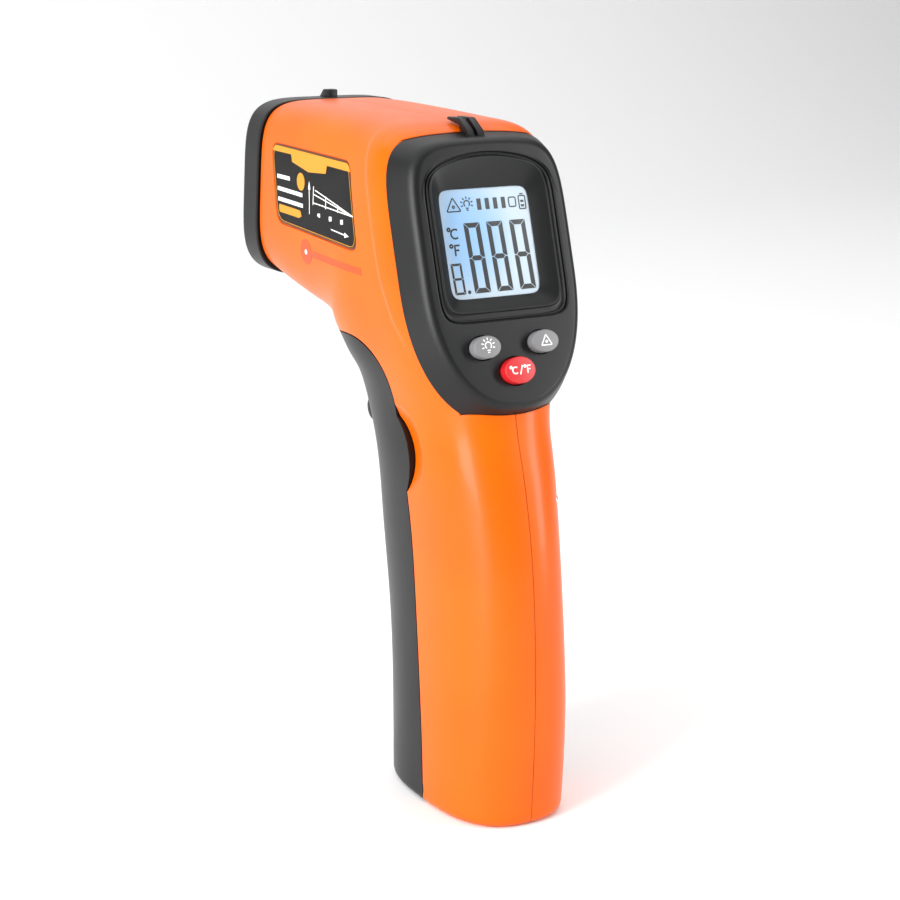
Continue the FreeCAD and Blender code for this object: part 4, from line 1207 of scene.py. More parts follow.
# ---- housing and battery door
@dataclass
class Housing:
    """The two orange half shells and the black battery door with its ears."""

    form: HousingForm
    finishes: Finishes
    display: LocalFrame
    bezel: "DisplayBezel"
    wall: float = 2.2
    door_wall: float = 1.8
    gap: float = 0.3
    seam: float = 0.07
    far: float = 90.0
    label_outline: tuple = ((34.0, 142.0), (-6.0, 141.0), (-10.2, 122.2), (31.6, 124.0))
    label_corner: float = 3.2
    label_seat: float = 0.4
    door_seam: tuple = ((20.0, 103.2), (0.0, 103.0), (-10.0, 101.8), (-16.0, 96.8), (-18.3, 88.0),
                        (-21.2, 70.0),
                        (-24.4, 46.0), (-27.3, 25.0), (-27.4, -3.0))
    door_front: float = 60.0
    ear: tuple = (-10.2, 77.2)
    ear_radius: float = 12.5
    dish: tuple = (-19.8, 78.6)
    dish_radius: float = 26.0
    dish_offset: float = 39.3
    screws: tuple = ((4.0, 112.5), (0.0, 144.0), (-41.0, 70.0), (-44.0, 14.0))
    screw_room: float = 2.4
    head_seat: float = 9.0
    trigger_window: tuple = (5.4, 76.0, 99.9)
    # half width, low, high, shallow, deep
    rooms: tuple = ((14.7, -0.4, 34.5, 6.0, 9.2), (15.2, 2.0, 37.0, 8.9, 10.9), (10.8, -13.4, 2.5, 6.0, 10.9))
    heel_radius: float = 3.6
    knuckle_radius: float = 2.3
    lug_half_width: float = 3.0
    knuckle_low: float = 3.3
    knuckle_high: float = 9.3
    pin_bore: float = 1.23
    lug_bore: float = 1.22
    bore_half: float = 12.0

    @property
    def hinge(self) -> tuple[float, float]:
        """y and z of the battery door's hinge."""
        place = next(j for j in frame["joints"] if j["child"] == DOOR_BODY)["pos_m"]
        return place[1] / MM, place[2] / MM

    def across(self, name: str, radius: float, half: float = 90.0) -> Piece:
        """A rod about the hinge's axis."""
        return rod(name, radius, (-half, *self.hinge), (half, *self.hinge))

    def door_region(self, shift_y: float = 0.0, shift_z: float = 0.0) -> Piece:
        """Everything in front of the door's seam, which is a spline in the YZ plane.

        Args:
            shift_y: how far it is moved along Y.
            shift_z: how far it is moved along Z.

        Returns:
            The region as a solid.
        """
        seam = smooth_outline(self.door_seam, 160)
        front = np.array([(self.door_front, self.door_seam[-1][1]), (self.door_front, self.door_seam[0][1])])
        outline = np.concatenate([seam, front]) + (shift_y, shift_z)
        return slice_x("door_region", outline, -self.far, self.far)

    def ball(self, radius: float, side: int) -> Piece:
        """The ball that hollows a finger dish: rings at equal angles from pole to pole.

        Args:
            radius: radius of the ball.
            side: -1 for the left flank, 1 for the right.

        Returns:
            The ball.
        """
        rise = np.linspace(-np.pi / 2, np.pi / 2, 90)
        profile = list(zip(radius * np.cos(rise), radius * np.sin(rise)))
        return lathe("dish_ball", profile, (side * self.dish_offset, *self.dish), axis=0, sides=160)

    def ear_rod(self, radius: float) -> Piece:
        """The ear's round end, right across the handle."""
        return rod("ear_rod", radius, (-self.far, *self.ear), (self.far, *self.ear), 256)

    def label_tool(self) -> Piece:
        """The label's recess: its rounded outline, less the form inset by the recess's depth.

        Returns:
            The tool that cuts the recess.
        """
        outline = rounded_polygon(self.label_outline, self.label_corner + 0.3, 0.3)
        return carve(slice_x("label_tool", outline, -self.far, self.far),
                     (Operation.CUT, self.form.solid("seat", 160, 200, inset=self.label_seat, reach=3.0)))

    def shell(self, node: str, side: int) -> Piece:
        """One half shell: the form, hollowed, with its dish, and cut back to its neighbours.

        Args:
            node: the node that it stands for.
            side: -1 for the left flank, 1 for the right.

        Returns:
            The shell.
        """
        steps = [(Operation.CUT,
                  self.form.solid("hollow", *TOOL_GRID, inset=self.wall, floor=self.wall, reach=3.0))]
        dish_wall = carve(self.ball(self.dish_radius + self.wall, side),
                          (Operation.COMMON, self.form.solid("inside", *TOOL_GRID, inset=1.0, floor=1.0)))
        steps.append((Operation.JOIN, dish_wall))
        steps.append((Operation.CUT, self.ball(self.dish_radius, side)))
        steps.append((Operation.CUT, self.door_region()))
        steps.append((Operation.CUT, self.ear_rod(self.ear_radius + self.gap)))
        steps.append((Operation.CUT, self.across("heel_room", self.heel_radius + self.gap)))
        steps.append((Operation.CUT, self.bezel.envelope()))
        steps.append((Operation.CUT, self.label_tool()))
        steps += [(Operation.CUT, self.display_room(*room)) for room in self.rooms]
        y, z = self.hinge
        lug = np.array([(y - 8.0, 1.0), (y, 1.0), (y, z + self.knuckle_radius),
                        (y - 8.0, z + self.knuckle_radius)])
        steps.append((Operation.JOIN, slice_x("lug", lug, -self.lug_half_width, self.lug_half_width)))
        steps.append((Operation.JOIN, self.across("lug_eye", self.knuckle_radius, self.lug_half_width)))
        steps.append((Operation.CUT, self.across("lug_bore", self.lug_bore, self.bore_half)))
        if side > 0:
            for y, z in self.screws:
                steps.append((Operation.CUT, rod("screw_room", self.screw_room, (self.head_seat, y, z),
                                                 (self.far, y, z), 48)))
        outline = np.array([(-self.far, -5.0), (self.far, -5.0), (self.far, 170.0), (-self.far, 170.0)])
        low, high = (-self.far, -self.seam) if side < 0 else (self.seam, self.far)
        steps.append((Operation.COMMON, slice_x("half", outline, low, high)))
        shell = carve(self.form.solid(node + "_skin", detailed=True), *steps, sharp_degrees=28.0)
        dress(shell, self.finishes.orange)
        return settle(shell, HOUSING_BODY, "orange_shell", node)

    def display_room(self, half: float, low: float, high: float, shallow: float, deep: float) -> Piece:
        """A box-shaped room behind the display's face.

        Args:
            half: half its width.
            low: its lower end up the face.
            high: its upper end.
            shallow: depth of its front behind the face.
            deep: depth of its back.

        Returns:
            The tool that cuts the room.
        """
        x, y = np.array([-half, half, half, -half]), np.array([low, low, high, high])
        loops = [self.display.place(x, y, np.full(4, -depth)) for depth in (shallow, deep)]
        return skin("display_room", np.array(loops))

    def door(self) -> Piece:
        """The battery door: the form in front of the seam with two round ears, hollowed, with a
        window for the trigger and two knuckles on its hinge.

        Returns:
            The door.
        """
        hinge_y, hinge_z = self.hinge
        corner = np.array([(-self.far, -self.far), (hinge_y, -self.far), (hinge_y, hinge_z),
                           (-self.far, hinge_z)])
        region = carve(self.door_region(self.gap, -self.gap),
                       (Operation.CUT, slice_x("heel_corner", corner, -self.far - 1.0, self.far + 1.0)),
                       (Operation.JOIN, self.across("heel_rod", self.heel_radius)),
                       (Operation.JOIN, self.ear_rod(self.ear_radius)))
        half, low, high = self.trigger_window
        window = np.array([(-12.0, low), (self.far, low), (self.far, high), (-12.0, high)])
        lug = np.array([(hinge_y - 38.0, -1.0), (hinge_y + 2.6, -1.0), (hinge_y + 2.6, 9.0),
                        (hinge_y - 38.0, 9.0)])
        steps = [
            (Operation.COMMON, region),
            (Operation.CUT, self.form.solid("door_hollow", *TOOL_GRID, inset=self.door_wall,
                                            floor=self.door_wall + 0.6, reach=3.0)),
            (Operation.CUT, slice_x("window", window, -half, half)),
            (Operation.JOIN, rod("knuckle_left", self.knuckle_radius, (-self.knuckle_high, hinge_y, hinge_z),
                                 (-self.knuckle_low, hinge_y, hinge_z))),
            (Operation.JOIN, rod("knuckle_right", self.knuckle_radius, (self.knuckle_low, hinge_y, hinge_z),
                                 (self.knuckle_high, hinge_y, hinge_z))),
            (Operation.CUT, slice_x("lug_room", lug, -self.knuckle_low, self.knuckle_low)),
            (Operation.CUT, rod("pin_bore", self.pin_bore, (-self.bore_half, hinge_y, hinge_z),
                                (self.bore_half, hinge_y, hinge_z), 48)),
        ]
        door = carve(self.form.solid("battery_door_skin", detailed=True), *steps, sharp_degrees=28.0)
        dress(door, self.finishes.satin)
        return settle(door, DOOR_BODY, "black_plastic", "battery_door")

    def build(self) -> None:
        """Make both shells and the door."""
        self.shell("left_shell", -1)
        self.shell("right_shell", 1)
        self.door()


def rounded_polygon(corners: Sequence[tuple[float, float]], radius: float, grow: float = 0.0,
                    steps: int = 10) -> Array:
    """A polygon with its corners rounded and its sides moved outwards.

    At each corner two points a radius back along the sides are joined by the quadratic curve drawn
    towards the corner.

    Args:
        corners: corners in order.
        radius: how far each rounding reaches along its sides.
        grow: how far the sides are moved outwards.
        steps: points of each corner.

    Returns:
        The outline.
    """
    points = np.array(corners, float)
    centre = points.mean(axis=0)
    points = points + np.sign(points - centre) * grow
    outline = []
    for before, corner, after in zip(np.roll(points, 1, axis=0), points, np.roll(points, -1, axis=0)):
        start = corner + (before - corner) * radius / np.linalg.norm(before - corner)
        end = corner + (after - corner) * radius / np.linalg.norm(after - corner)
        outline += bent(tuple(start), tuple(corner), tuple(end), steps)
    return np.array(outline)


# ---- display bezel
@dataclass
class DisplayBezel:
    """The shield-shaped bezel round the display, with its stepped window and key holes."""

    finishes: Finishes
    display: LocalFrame
    face: Outline = Outline(18.3, -17.6, 39.0, 2.3, 6.0, 1.0)
    rim: Outline = Outline(15.75, 0.7, 36.5, 9.0, 8.0, 3.6)
    land: Outline = Outline(14.0, 3.0, 35.4, 10.0, 9.0, 2.8)
    floor: Outline = Outline(10.95, 6.1, 29.3, 12.0, 12.0)
    depth: float = 6.4
    flare: float = 3.1
    shoulder: float = 1.7
    wall: float = 1.6
    around: int = 360
    key_gap: float = 0.25

    def ring(self, outline: Outline, grow: float, depth: float) -> Array:
        """One closed loop of the bezel at a depth behind its face."""
        x, y = outline.points(turn(self.around), grow)
        return self.display.place(x, y, np.full_like(x, -depth))

    def envelope(self) -> Piece:
        """The room that the bezel takes out of the shells, a hair larger than the bezel.

        Returns:
            The tool that cuts the room.
        """
        clear = 0.16
        loops = [self.ring(self.face, clear - 0.3, -0.6),
                 self.ring(self.face, self.flare + clear, self.depth + clear)]
        return skin("bezel_envelope", np.array(loops))

    def loops(self) -> Array:
        """The bezel's section, carried round: skirt, rounded shoulder, face, two steps down round the
        window, the sloping walls of the well, and back inside the wall.

        Returns:
            Points as (loop, place in loop, xyz).
        """
        slope = self.flare / self.depth
        shoulder = self.shoulder
        rings = [self.ring(self.face, self.flare - 0.12, self.depth)]
        rings += [self.ring(self.face, slope * d, d) for d in np.linspace(self.depth - 0.15, shoulder, 10)]
        rings += [self.ring(self.face, grow, depth)
                  for grow, depth in bent((slope * shoulder, shoulder), (0.0, 0.0), (-1.2, 0.0), 12)[1:]]
        window = [(0.25, 0.0), *bent((0.08, 0.0), (0.0, 0.0), (-0.04, 0.12), 4), (-0.1, 0.62), (-0.32, 0.68),
                  (-0.38, 0.62), (-0.42, 0.32), *bent((-0.46, 0.26), (-0.5, 0.24), (-0.62, 0.25), 4),
                  (-0.68, 0.32), (-0.74, 0.7), (-0.82, 0.78), (-1.1, 0.78)]
        rings += [self.ring(self.rim, grow, depth) for grow, depth in window]
        rings += [self.ring(self.land, grow, depth)
                  for grow, depth in ((0.4, 0.78), (0.3, 0.7), (0.22, 0.5),
                                      *bent((0.15, 0.42), (0.05, 0.36), (-0.2, 0.42), 4))]
        rings += [self.ring(self.floor, 0.12, 2.92), self.ring(self.floor, 0.0, 3.0),
                  self.ring(self.floor, 0.0, 3.3)]
        rings += [self.ring(self.rim, 0.6, 3.3), self.ring(self.face, -2.2, 2.3)]
        rings += [self.ring(self.face, slope * 2.2 - self.wall, 2.2),
                  self.ring(self.face, self.flare - self.wall, self.depth)]
        return np.array(rings)

    def build(self, keys: Sequence["Key"]) -> Piece:
        """Make the bezel and cut the key holes.

        Args:
            keys: the keys that pass through the face.

        Returns:
            The bezel.
        """
        bezel = skin("display_bezel_skin", self.loops(), wrap=True)
        steps = [(Operation.CUT, key.hole(self.key_gap)) for key in keys]
        carve(bezel, *steps, sharp_degrees=38.0)
        dress(bezel, self.finishes.black)
        settle(bezel, HOUSING_BODY, "black_plastic", "display_bezel")
        return bezel


@dataclass
class RearSight:
    """The two leaning ribs on top of the bezel that the user looks between."""

    finishes: Finishes
    profile: tuple = ((-26.2, 146.6), (-25.0, 148.4), (-21.6, 150.7), (-16.6, 150.7), (-16.6, 150.1),
                      (-21.3, 149.3),
                      (-22.4, 147.4))
    centre: float = 1.2
    half_width: float = 0.8

    def build(self) -> Piece:
        """Two slices with softened edges.

        Returns:
            The sight.
        """
        outline = np.array(self.profile)
        ribs = []
        for side in (-1, 1):
            low, high = side * self.centre - self.half_width, side * self.centre + self.half_width
            ribs.append(rounded(slice_x("rib", outline, low, high), 0.15, 2))
        sight = dress(joined("rear_sight", ribs), self.finishes.black)
        return settle(sight, HOUSING_BODY, "black_plastic")


# ---- printed marks
def ribbon(path: Array, width: Union[float, Array], lift: float, place: Callable[..., Array],
           closed: bool = False, thickness: float = 0.05) -> tuple[Array, Array]:
    """A flat printed line: a thin box section carried along a path.

    Args:
        path: points as (x, y) on the face.
        width: line width, one value or one for each point.
        lift: height of the ink's top above the face.
        place: turns x, y and height into points in the model.
        closed: join the end to the start.
        thickness: how far the ink reaches down from its top.

    Returns:
        Points and faces.
    """
    path = np.asarray(path, float)
    if closed:
        along = np.roll(path, -1, axis=0) - np.roll(path, 1, axis=0)
    else:
        along = np.gradient(path, axis=0)
    along /= np.maximum(np.linalg.norm(along, axis=1, keepdims=True), 1e-9)
    side = np.stack([-along[:, 1], along[:, 0]], axis=1) * np.broadcast_to(np.asarray(width, float) / 2,
                                                                           len(path))[:, None]
    left, right = path + side, path - side
    section = [(left, lift), (right, lift), (right, lift - thickness), (left, lift - thickness)]
    loops = np.stack([place(edge[:, 0], edge[:, 1], np.full(len(path), height)) for edge, height in section],
                     axis=1)
    faces = grid_faces(len(path), 4, wrap_rows=closed).tolist()
    if not closed:
        last = 4 * (len(path) - 1)
        faces += [[3, 2, 1, 0], [last, last + 1, last + 2, last + 3]]
    return loops.reshape(-1, 3), faces


def plate(outline: Array, lift: float, place: Callable[..., Array], thickness: float = 0.05,
          rings: int = 8) -> tuple[Array, Array]:
    """A flat printed patch: rings that shrink from the outline to its middle, over a thin edge.

    Args:
        outline: closed outline on the face.
        lift: height above the face.
        place: turns x, y and height into points in the model.
        thickness: how far the ink reaches down from its top.
        rings: rings from the edge to the middle.

    Returns:
        Points and faces.
    """
    outline = np.asarray(outline, float)
    centre = outline.mean(axis=0)
    shares = np.concatenate([[1.0], np.linspace(1.0, 0.0, rings)])
    heights = np.full(len(shares), lift)
    heights[0] = lift - thickness
    points = [place(*(centre + (outline - centre) * share).T, np.full(len(outline), height))
              for share, height in zip(shares, heights)]
    under = place(*np.broadcast_to(centre, outline.shape).T, np.full(len(outline), lift - thickness))
    points = np.array([under] + points)
    return points.reshape(-1, 3), grid_faces(len(points), len(outline)).tolist()


def printed(name: str, marks: Iterable[tuple[Array, Array]]) -> Piece:
    """One object from several ribbons and plates.

    Args:
        name: the object's name.
        marks: points and faces of each mark.

    Returns:
        The object.
    """
    points, faces, start = [], [], 0
    for mark_points, mark_faces in marks:
        points.append(mark_points)
        faces += [[start + index for index in face] for face in mark_faces]
        start += len(mark_points)
    return mesh_object(name, np.concatenate(points), faces)


def circle(x: float, y: float, radius: float, count: int = 32, start: float = 0.0,
           end: float = 360.0) -> Array:
    """Points of a circle or an arc, in degrees from +x.

    Args:
        x: middle, across.
        y: middle, up.
        radius: radius.
        count: number of points.
        start: first angle.
        end: last angle.

    Returns:
        The points.
    """
    whole = abs(end - start) >= 360.0
    angle = np.radians(np.linspace(start, end, count, endpoint=not whole))
    return np.stack([x + radius * np.cos(angle), y + radius * np.sin(angle)], axis=1)


def straight(*points: tuple[float, float], per_side: int = 2) -> Array:
    """Points along straight runs, each corner doubled so that a ribbon keeps its width.

    Args:
        *points: the corners.
        per_side: points on each run.

    Returns:
        The points.
    """
    corners = np.array(points, float)
    share = np.linspace(0.001, 0.999, per_side)[:, None]
    return np.concatenate([a + (b - a) * share for a, b in zip(corners, corners[1:])])


class Glyphs:
    """Simple generic marks, drawn about a middle point with a given size."""

    @staticmethod
    def bulb(x: float, y: float, size: float) -> Strokes:
        """A lamp: a round glass on a short neck, with rays.

        Args:
            x: place across the face.
            y: place up the face.
            size: height of the sign.

        Returns:
            Paths, and whether each is closed.
        """
        marks = [(circle(x, y + 0.08 * size, 0.2 * size, 20, -50, 230), False),
                 (straight((x - 0.1 * size, y - 0.2 * size), (x + 0.1 * size, y - 0.2 * size)), False),
                 (straight((x - 0.07 * size, y - 0.32 * size), (x + 0.07 * size, y - 0.32 * size)), False)]
        for angle in np.radians(np.arange(-20, 201, 36.7)):
            ray = [(x + r * size * math.cos(angle),
                    y + 0.08 * size + r * size * math.sin(angle)) for r in (0.31, 0.45)]
            marks.append((straight(*ray), False))
        return marks

    @staticmethod
    def beam(x: float, y: float, size: float) -> Strokes:
        """A light beam's mark: a triangle round a spot.

        Args:
            x: place across the face.
            y: place up the face.
            size: height of the sign.

        Returns:
            Paths, and whether each is closed.
        """
        corners = [(x - 0.5 * size, y - 0.36 * size), (x + 0.5 * size, y - 0.36 * size), (x, y + 0.5 * size)]
        outline = rounded_polygon(corners, 0.08 * size, steps=3)
        return [(outline, True), (circle(x, y - 0.08 * size, 0.07 * size, 12), True)]

    @staticmethod
    def degrees(x: float, y: float, size: float, letter: str) -> Strokes:
        """A unit mark: a small ring, and C or F.

        Args:
            x: place across the face.
            y: place up the face.
            size: height of the sign.
            letter: C or F.

        Returns:
            Paths, and whether each is closed.
        """
        marks = [(circle(x - 0.42 * size, y + 0.36 * size, 0.12 * size, 14), True)]
        if letter == "C":
            marks.append((circle(x + 0.1 * size, y, 0.36 * size, 20, 50, 310), False))
        else:
            left, right = x - 0.12 * size, x + 0.32 * size
            marks.append((straight((right, y + 0.4 * size), (left, y + 0.4 * size), (left, y - 0.42 * size)),
                          False))
            marks.append((straight((left, y + 0.02 * size), (right - 0.08 * size, y + 0.02 * size)), False))
        return marks


# ---- keys
@dataclass
class Key:
    """A rubber key: an elliptical stem with a softly crowned top and a flange behind the face."""

    node: str
    body: str
    slot: str
    width: float
    height: float
    display: LocalFrame
    proud: float = 2.3
    root: float = 4.2
    flange: float = 0.8
    flange_depth: float = 3.0
    crown: float = 0.2
    edge: float = 0.45

    @property
    def centre(self) -> tuple[float, float]:
        """The key's place across and up the display's face.

        Returns:
            x and y on the face.
        """
        offset = middle(self.node) - self.display.origin
        out_share = (self.proud - self.root) / 2
        along = offset - out_share * self.display.out
        return float(along @ self.display.across), float(along @ self.display.up)

    def ellipse(self, grow: float, depth: float, count: int = 96) -> Array:
        """A loop of the key, grown by an amount, at a height out of the face.

        Args:
            grow: how far it is moved outwards.
            depth: height out of the face.
            count: number of points.

        Returns:
            The loop.
        """
        x, y = self.centre
        angle = turn(count)
        return self.display.place(x + (self.width / 2 + grow) * np.cos(angle),
                                  y + (self.height / 2 + grow) * np.sin(angle), np.full(count, depth))

    def hole(self, gap: float) -> Piece:
        """The tool that makes the key's hole in the bezel."""
        return skin("key_hole", np.array([self.ellipse(gap, -4.0), self.ellipse(gap, 1.0)]))

    def top(self, x: Array, y: Array, lift: Array) -> Array:
        """Points on the crowned top: its height falls with the square of the distance from the middle.

        Args:
            x: x from the key's middle.
            y: y from the key's middle.
            lift: height above the top.

        Returns:
            Points in the model.
        """
        centre_x, centre_y = self.centre
        away = (x / (self.width / 2)) ** 2 + (y / (self.height / 2)) ** 2
        return self.display.place(centre_x + x, centre_y + y, self.proud - self.crown * away + lift)

    def build(self, material: bpy.types.Material, ink: bpy.types.Material,
              marks: Strokes, line: float) -> None:
        """Make the cap and print its mark.

        Args:
            material: the cap's finish.
            ink: the mark's finish.
            marks: paths of the mark, and whether each is closed.
            line: width of its lines.
        """
        loops = [self.ellipse(self.flange, -self.root), self.ellipse(self.flange, -self.flange_depth),
                 self.ellipse(0.0, -self.flange_depth), self.ellipse(0.0, 0.2)]
        high = self.proud - self.crown
        loops += [self.ellipse(grow, height) for grow, height in bent((0.0, high - self.edge), (0.0, high),
                                                                    (-0.1 * self.height / 2, high + 0.04), 7)]
        angle = turn(len(loops[0]))
        loops += [self.top(share * self.width / 2 * np.cos(angle), share * self.height / 2 * np.sin(angle),
                           np.zeros_like(angle)) for share in np.linspace(0.86, 0.02, 12)]
        cap = dress(skin(self.node + "_cap", np.array(loops), sharp_degrees=50.0), material)
        settle(cap, self.body, self.slot, self.node)
        mark = printed(self.node + "_mark",
                       [ribbon(path, line, 0.05, self.top, closed) for path, closed in marks])
        settle(dress(mark, ink), self.body, self.slot)


# ---- display
@dataclass
class DisplayPanel:
    """The liquid crystal panel with its segments, seen through the window of the bezel."""

    finishes: Finishes
    display: LocalFrame
    floor: Outline
    depth: float = 3.25
    lean: float = -0.036
    ink_lift: float = 0.03
    digit_centres: tuple = (-3.5, 2.05, 7.7)
    digit_low: float = 7.2
    digit_height: float = 14.9
    digit_width: float = 3.9
    bar: float = 1.05
    middle_up: float = 17.7
    icon_row: float = 25.9
    icon_line: float = 0.28

    def place(self, x: Array, y: Array, lift: Array) -> Array:
        """Points on the panel's face."""
        return self.display.place(x, y, np.asarray(lift) - self.depth)

    def digit(self, x: float, low: float, width: float, height: float, bar: float) -> Marks:
        """A figure 8 of seven bars with mitred ends, leaning a little.

        Args:
            x: place of its middle line.
            low: height of its foot.
            width: width over all.
            height: height over all.
            bar: width of one bar.

        Returns:
            One plate for each bar.
        """
        half, middle_up, gap = width / 2, height / 2, 0.07 * bar / 1.05 + 0.03
        inner = half - bar
        level = [(-half + gap, 0.0), (half - gap, 0.0), (inner - gap, bar), (-inner + gap, bar)]
        centre_bar = [(-inner - bar / 2 + gap, 0.0), (-inner + gap, -bar / 2), (inner - gap, -bar / 2),
                      (inner + bar / 2 - gap, 0.0), (inner - gap, bar / 2), (-inner + gap, bar / 2)]
        upright = [(half, gap), (half, middle_up - gap), (half - bar / 2, middle_up - gap),
                   (inner, middle_up - bar / 2 - gap),
                   (inner, bar + gap)]
        shapes = [np.array(level), height * np.array([0.0, 1.0]) + np.array(level) * (1, -1),
                  np.array(centre_bar) + (0.0, middle_up)]
        for side in (-1, 1):
            lower = np.array(upright) * (side, 1)
            shapes += [lower, np.array([0.0, height]) + lower * (1, -1)]
        marks = []
        for shape in shapes:
            slanted = shape + self.lean * np.stack([shape[:, 1] - middle_up, np.zeros(len(shape))], axis=1)
            if np.cross(slanted[1] - slanted[0], slanted[2] - slanted[1]) < 0:
                slanted = slanted[::-1]
            marks.append(plate(slanted + (x, low), self.ink_lift, self.place, rings=2))
        return marks

    def row_of_icons(self) -> Marks:
        """The top row: beam mark, lamp, four level bars, a square and a battery.

        Returns:
            Points and faces of each mark.
        """
        row = self.icon_row
        lines = Glyphs.beam(-7.5, row, 3.4) + Glyphs.bulb(-4.2, row, 3.4)
        lines += [(rounded_polygon([(6.1, row - 1.0), (7.8, row - 1.0), (7.8, row + 1.0), (6.1, row + 1.0)],
                                   0.3, steps=3), True)]
        lines += [(rounded_polygon([(8.6, row - 1.6), (10.2, row - 1.6), (10.2, row + 1.2), (8.6, row + 1.2)],
                                   0.25, steps=3), True)]
        lines += [(straight((9.0, row + 1.6), (9.8, row + 1.6)), False)]
        marks = [ribbon(path, self.icon_line, self.ink_lift, self.place, closed) for path, closed in lines]
        for number in range(4):
            x = -1.25 + 2.0 * number
            marks.append(ribbon(straight((x, row - 1.2), (x, row + 1.2)), 1.0, self.ink_lift, self.place))
        for number in range(2):
            marks.append(ribbon(straight((9.0, row - 0.9 + 0.95 * number), (9.8, row - 0.9 + 0.95 * number)),
                                0.5,
                                self.ink_lift, self.place))
        return marks

    def units(self) -> Marks:
        """The two unit marks and the small last figure with its point.

        Returns:
            Points and faces of each mark.
        """
        lines = Glyphs.degrees(-8.3, 20.0, 2.7, "C") + Glyphs.degrees(-8.2, 16.5, 2.7, "F")
        marks = [ribbon(path, 0.38, self.ink_lift, self.place, closed) for path, closed in lines]
        marks += self.digit(-8.75, 7.2, 2.6, 6.6, 0.5)
        marks.append(plate(circle(-6.5, 7.6, 0.4, 20), self.ink_lift, self.place, rings=3))
        return marks

    def build(self) -> None:
        """Make the panel and its segments."""
        x, y = self.floor.points(turn(160), 0.9)
        loops = [self.place(x, y, np.full_like(x, height)) for height in (-0.4, -0.02)]
        loops += [self.place(x * share, self.middle_up + (y - self.middle_up) * share,
                             np.zeros_like(x)) for share in np.linspace(0.995, 0.05, 10)]
        centre = tuple(self.place(np.array(0.0), np.array(self.middle_up), np.array(0.0)))
        ground = LiquidCrystal(centre, 11.0, 11.2).material()
        panel = dress(skin("lcd_face", np.array(loops)), ground)
        settle(panel, HOUSING_BODY, "lcd_glass")
        marks = self.row_of_icons() + self.units()
        for x_centre in self.digit_centres:
            marks += self.digit(x_centre, self.digit_low, self.digit_width, self.digit_height, self.bar)
        ink = dress(printed("lcd_segments", marks), Segments(centre).material())
        settle(ink, HOUSING_BODY, "lcd_glass")


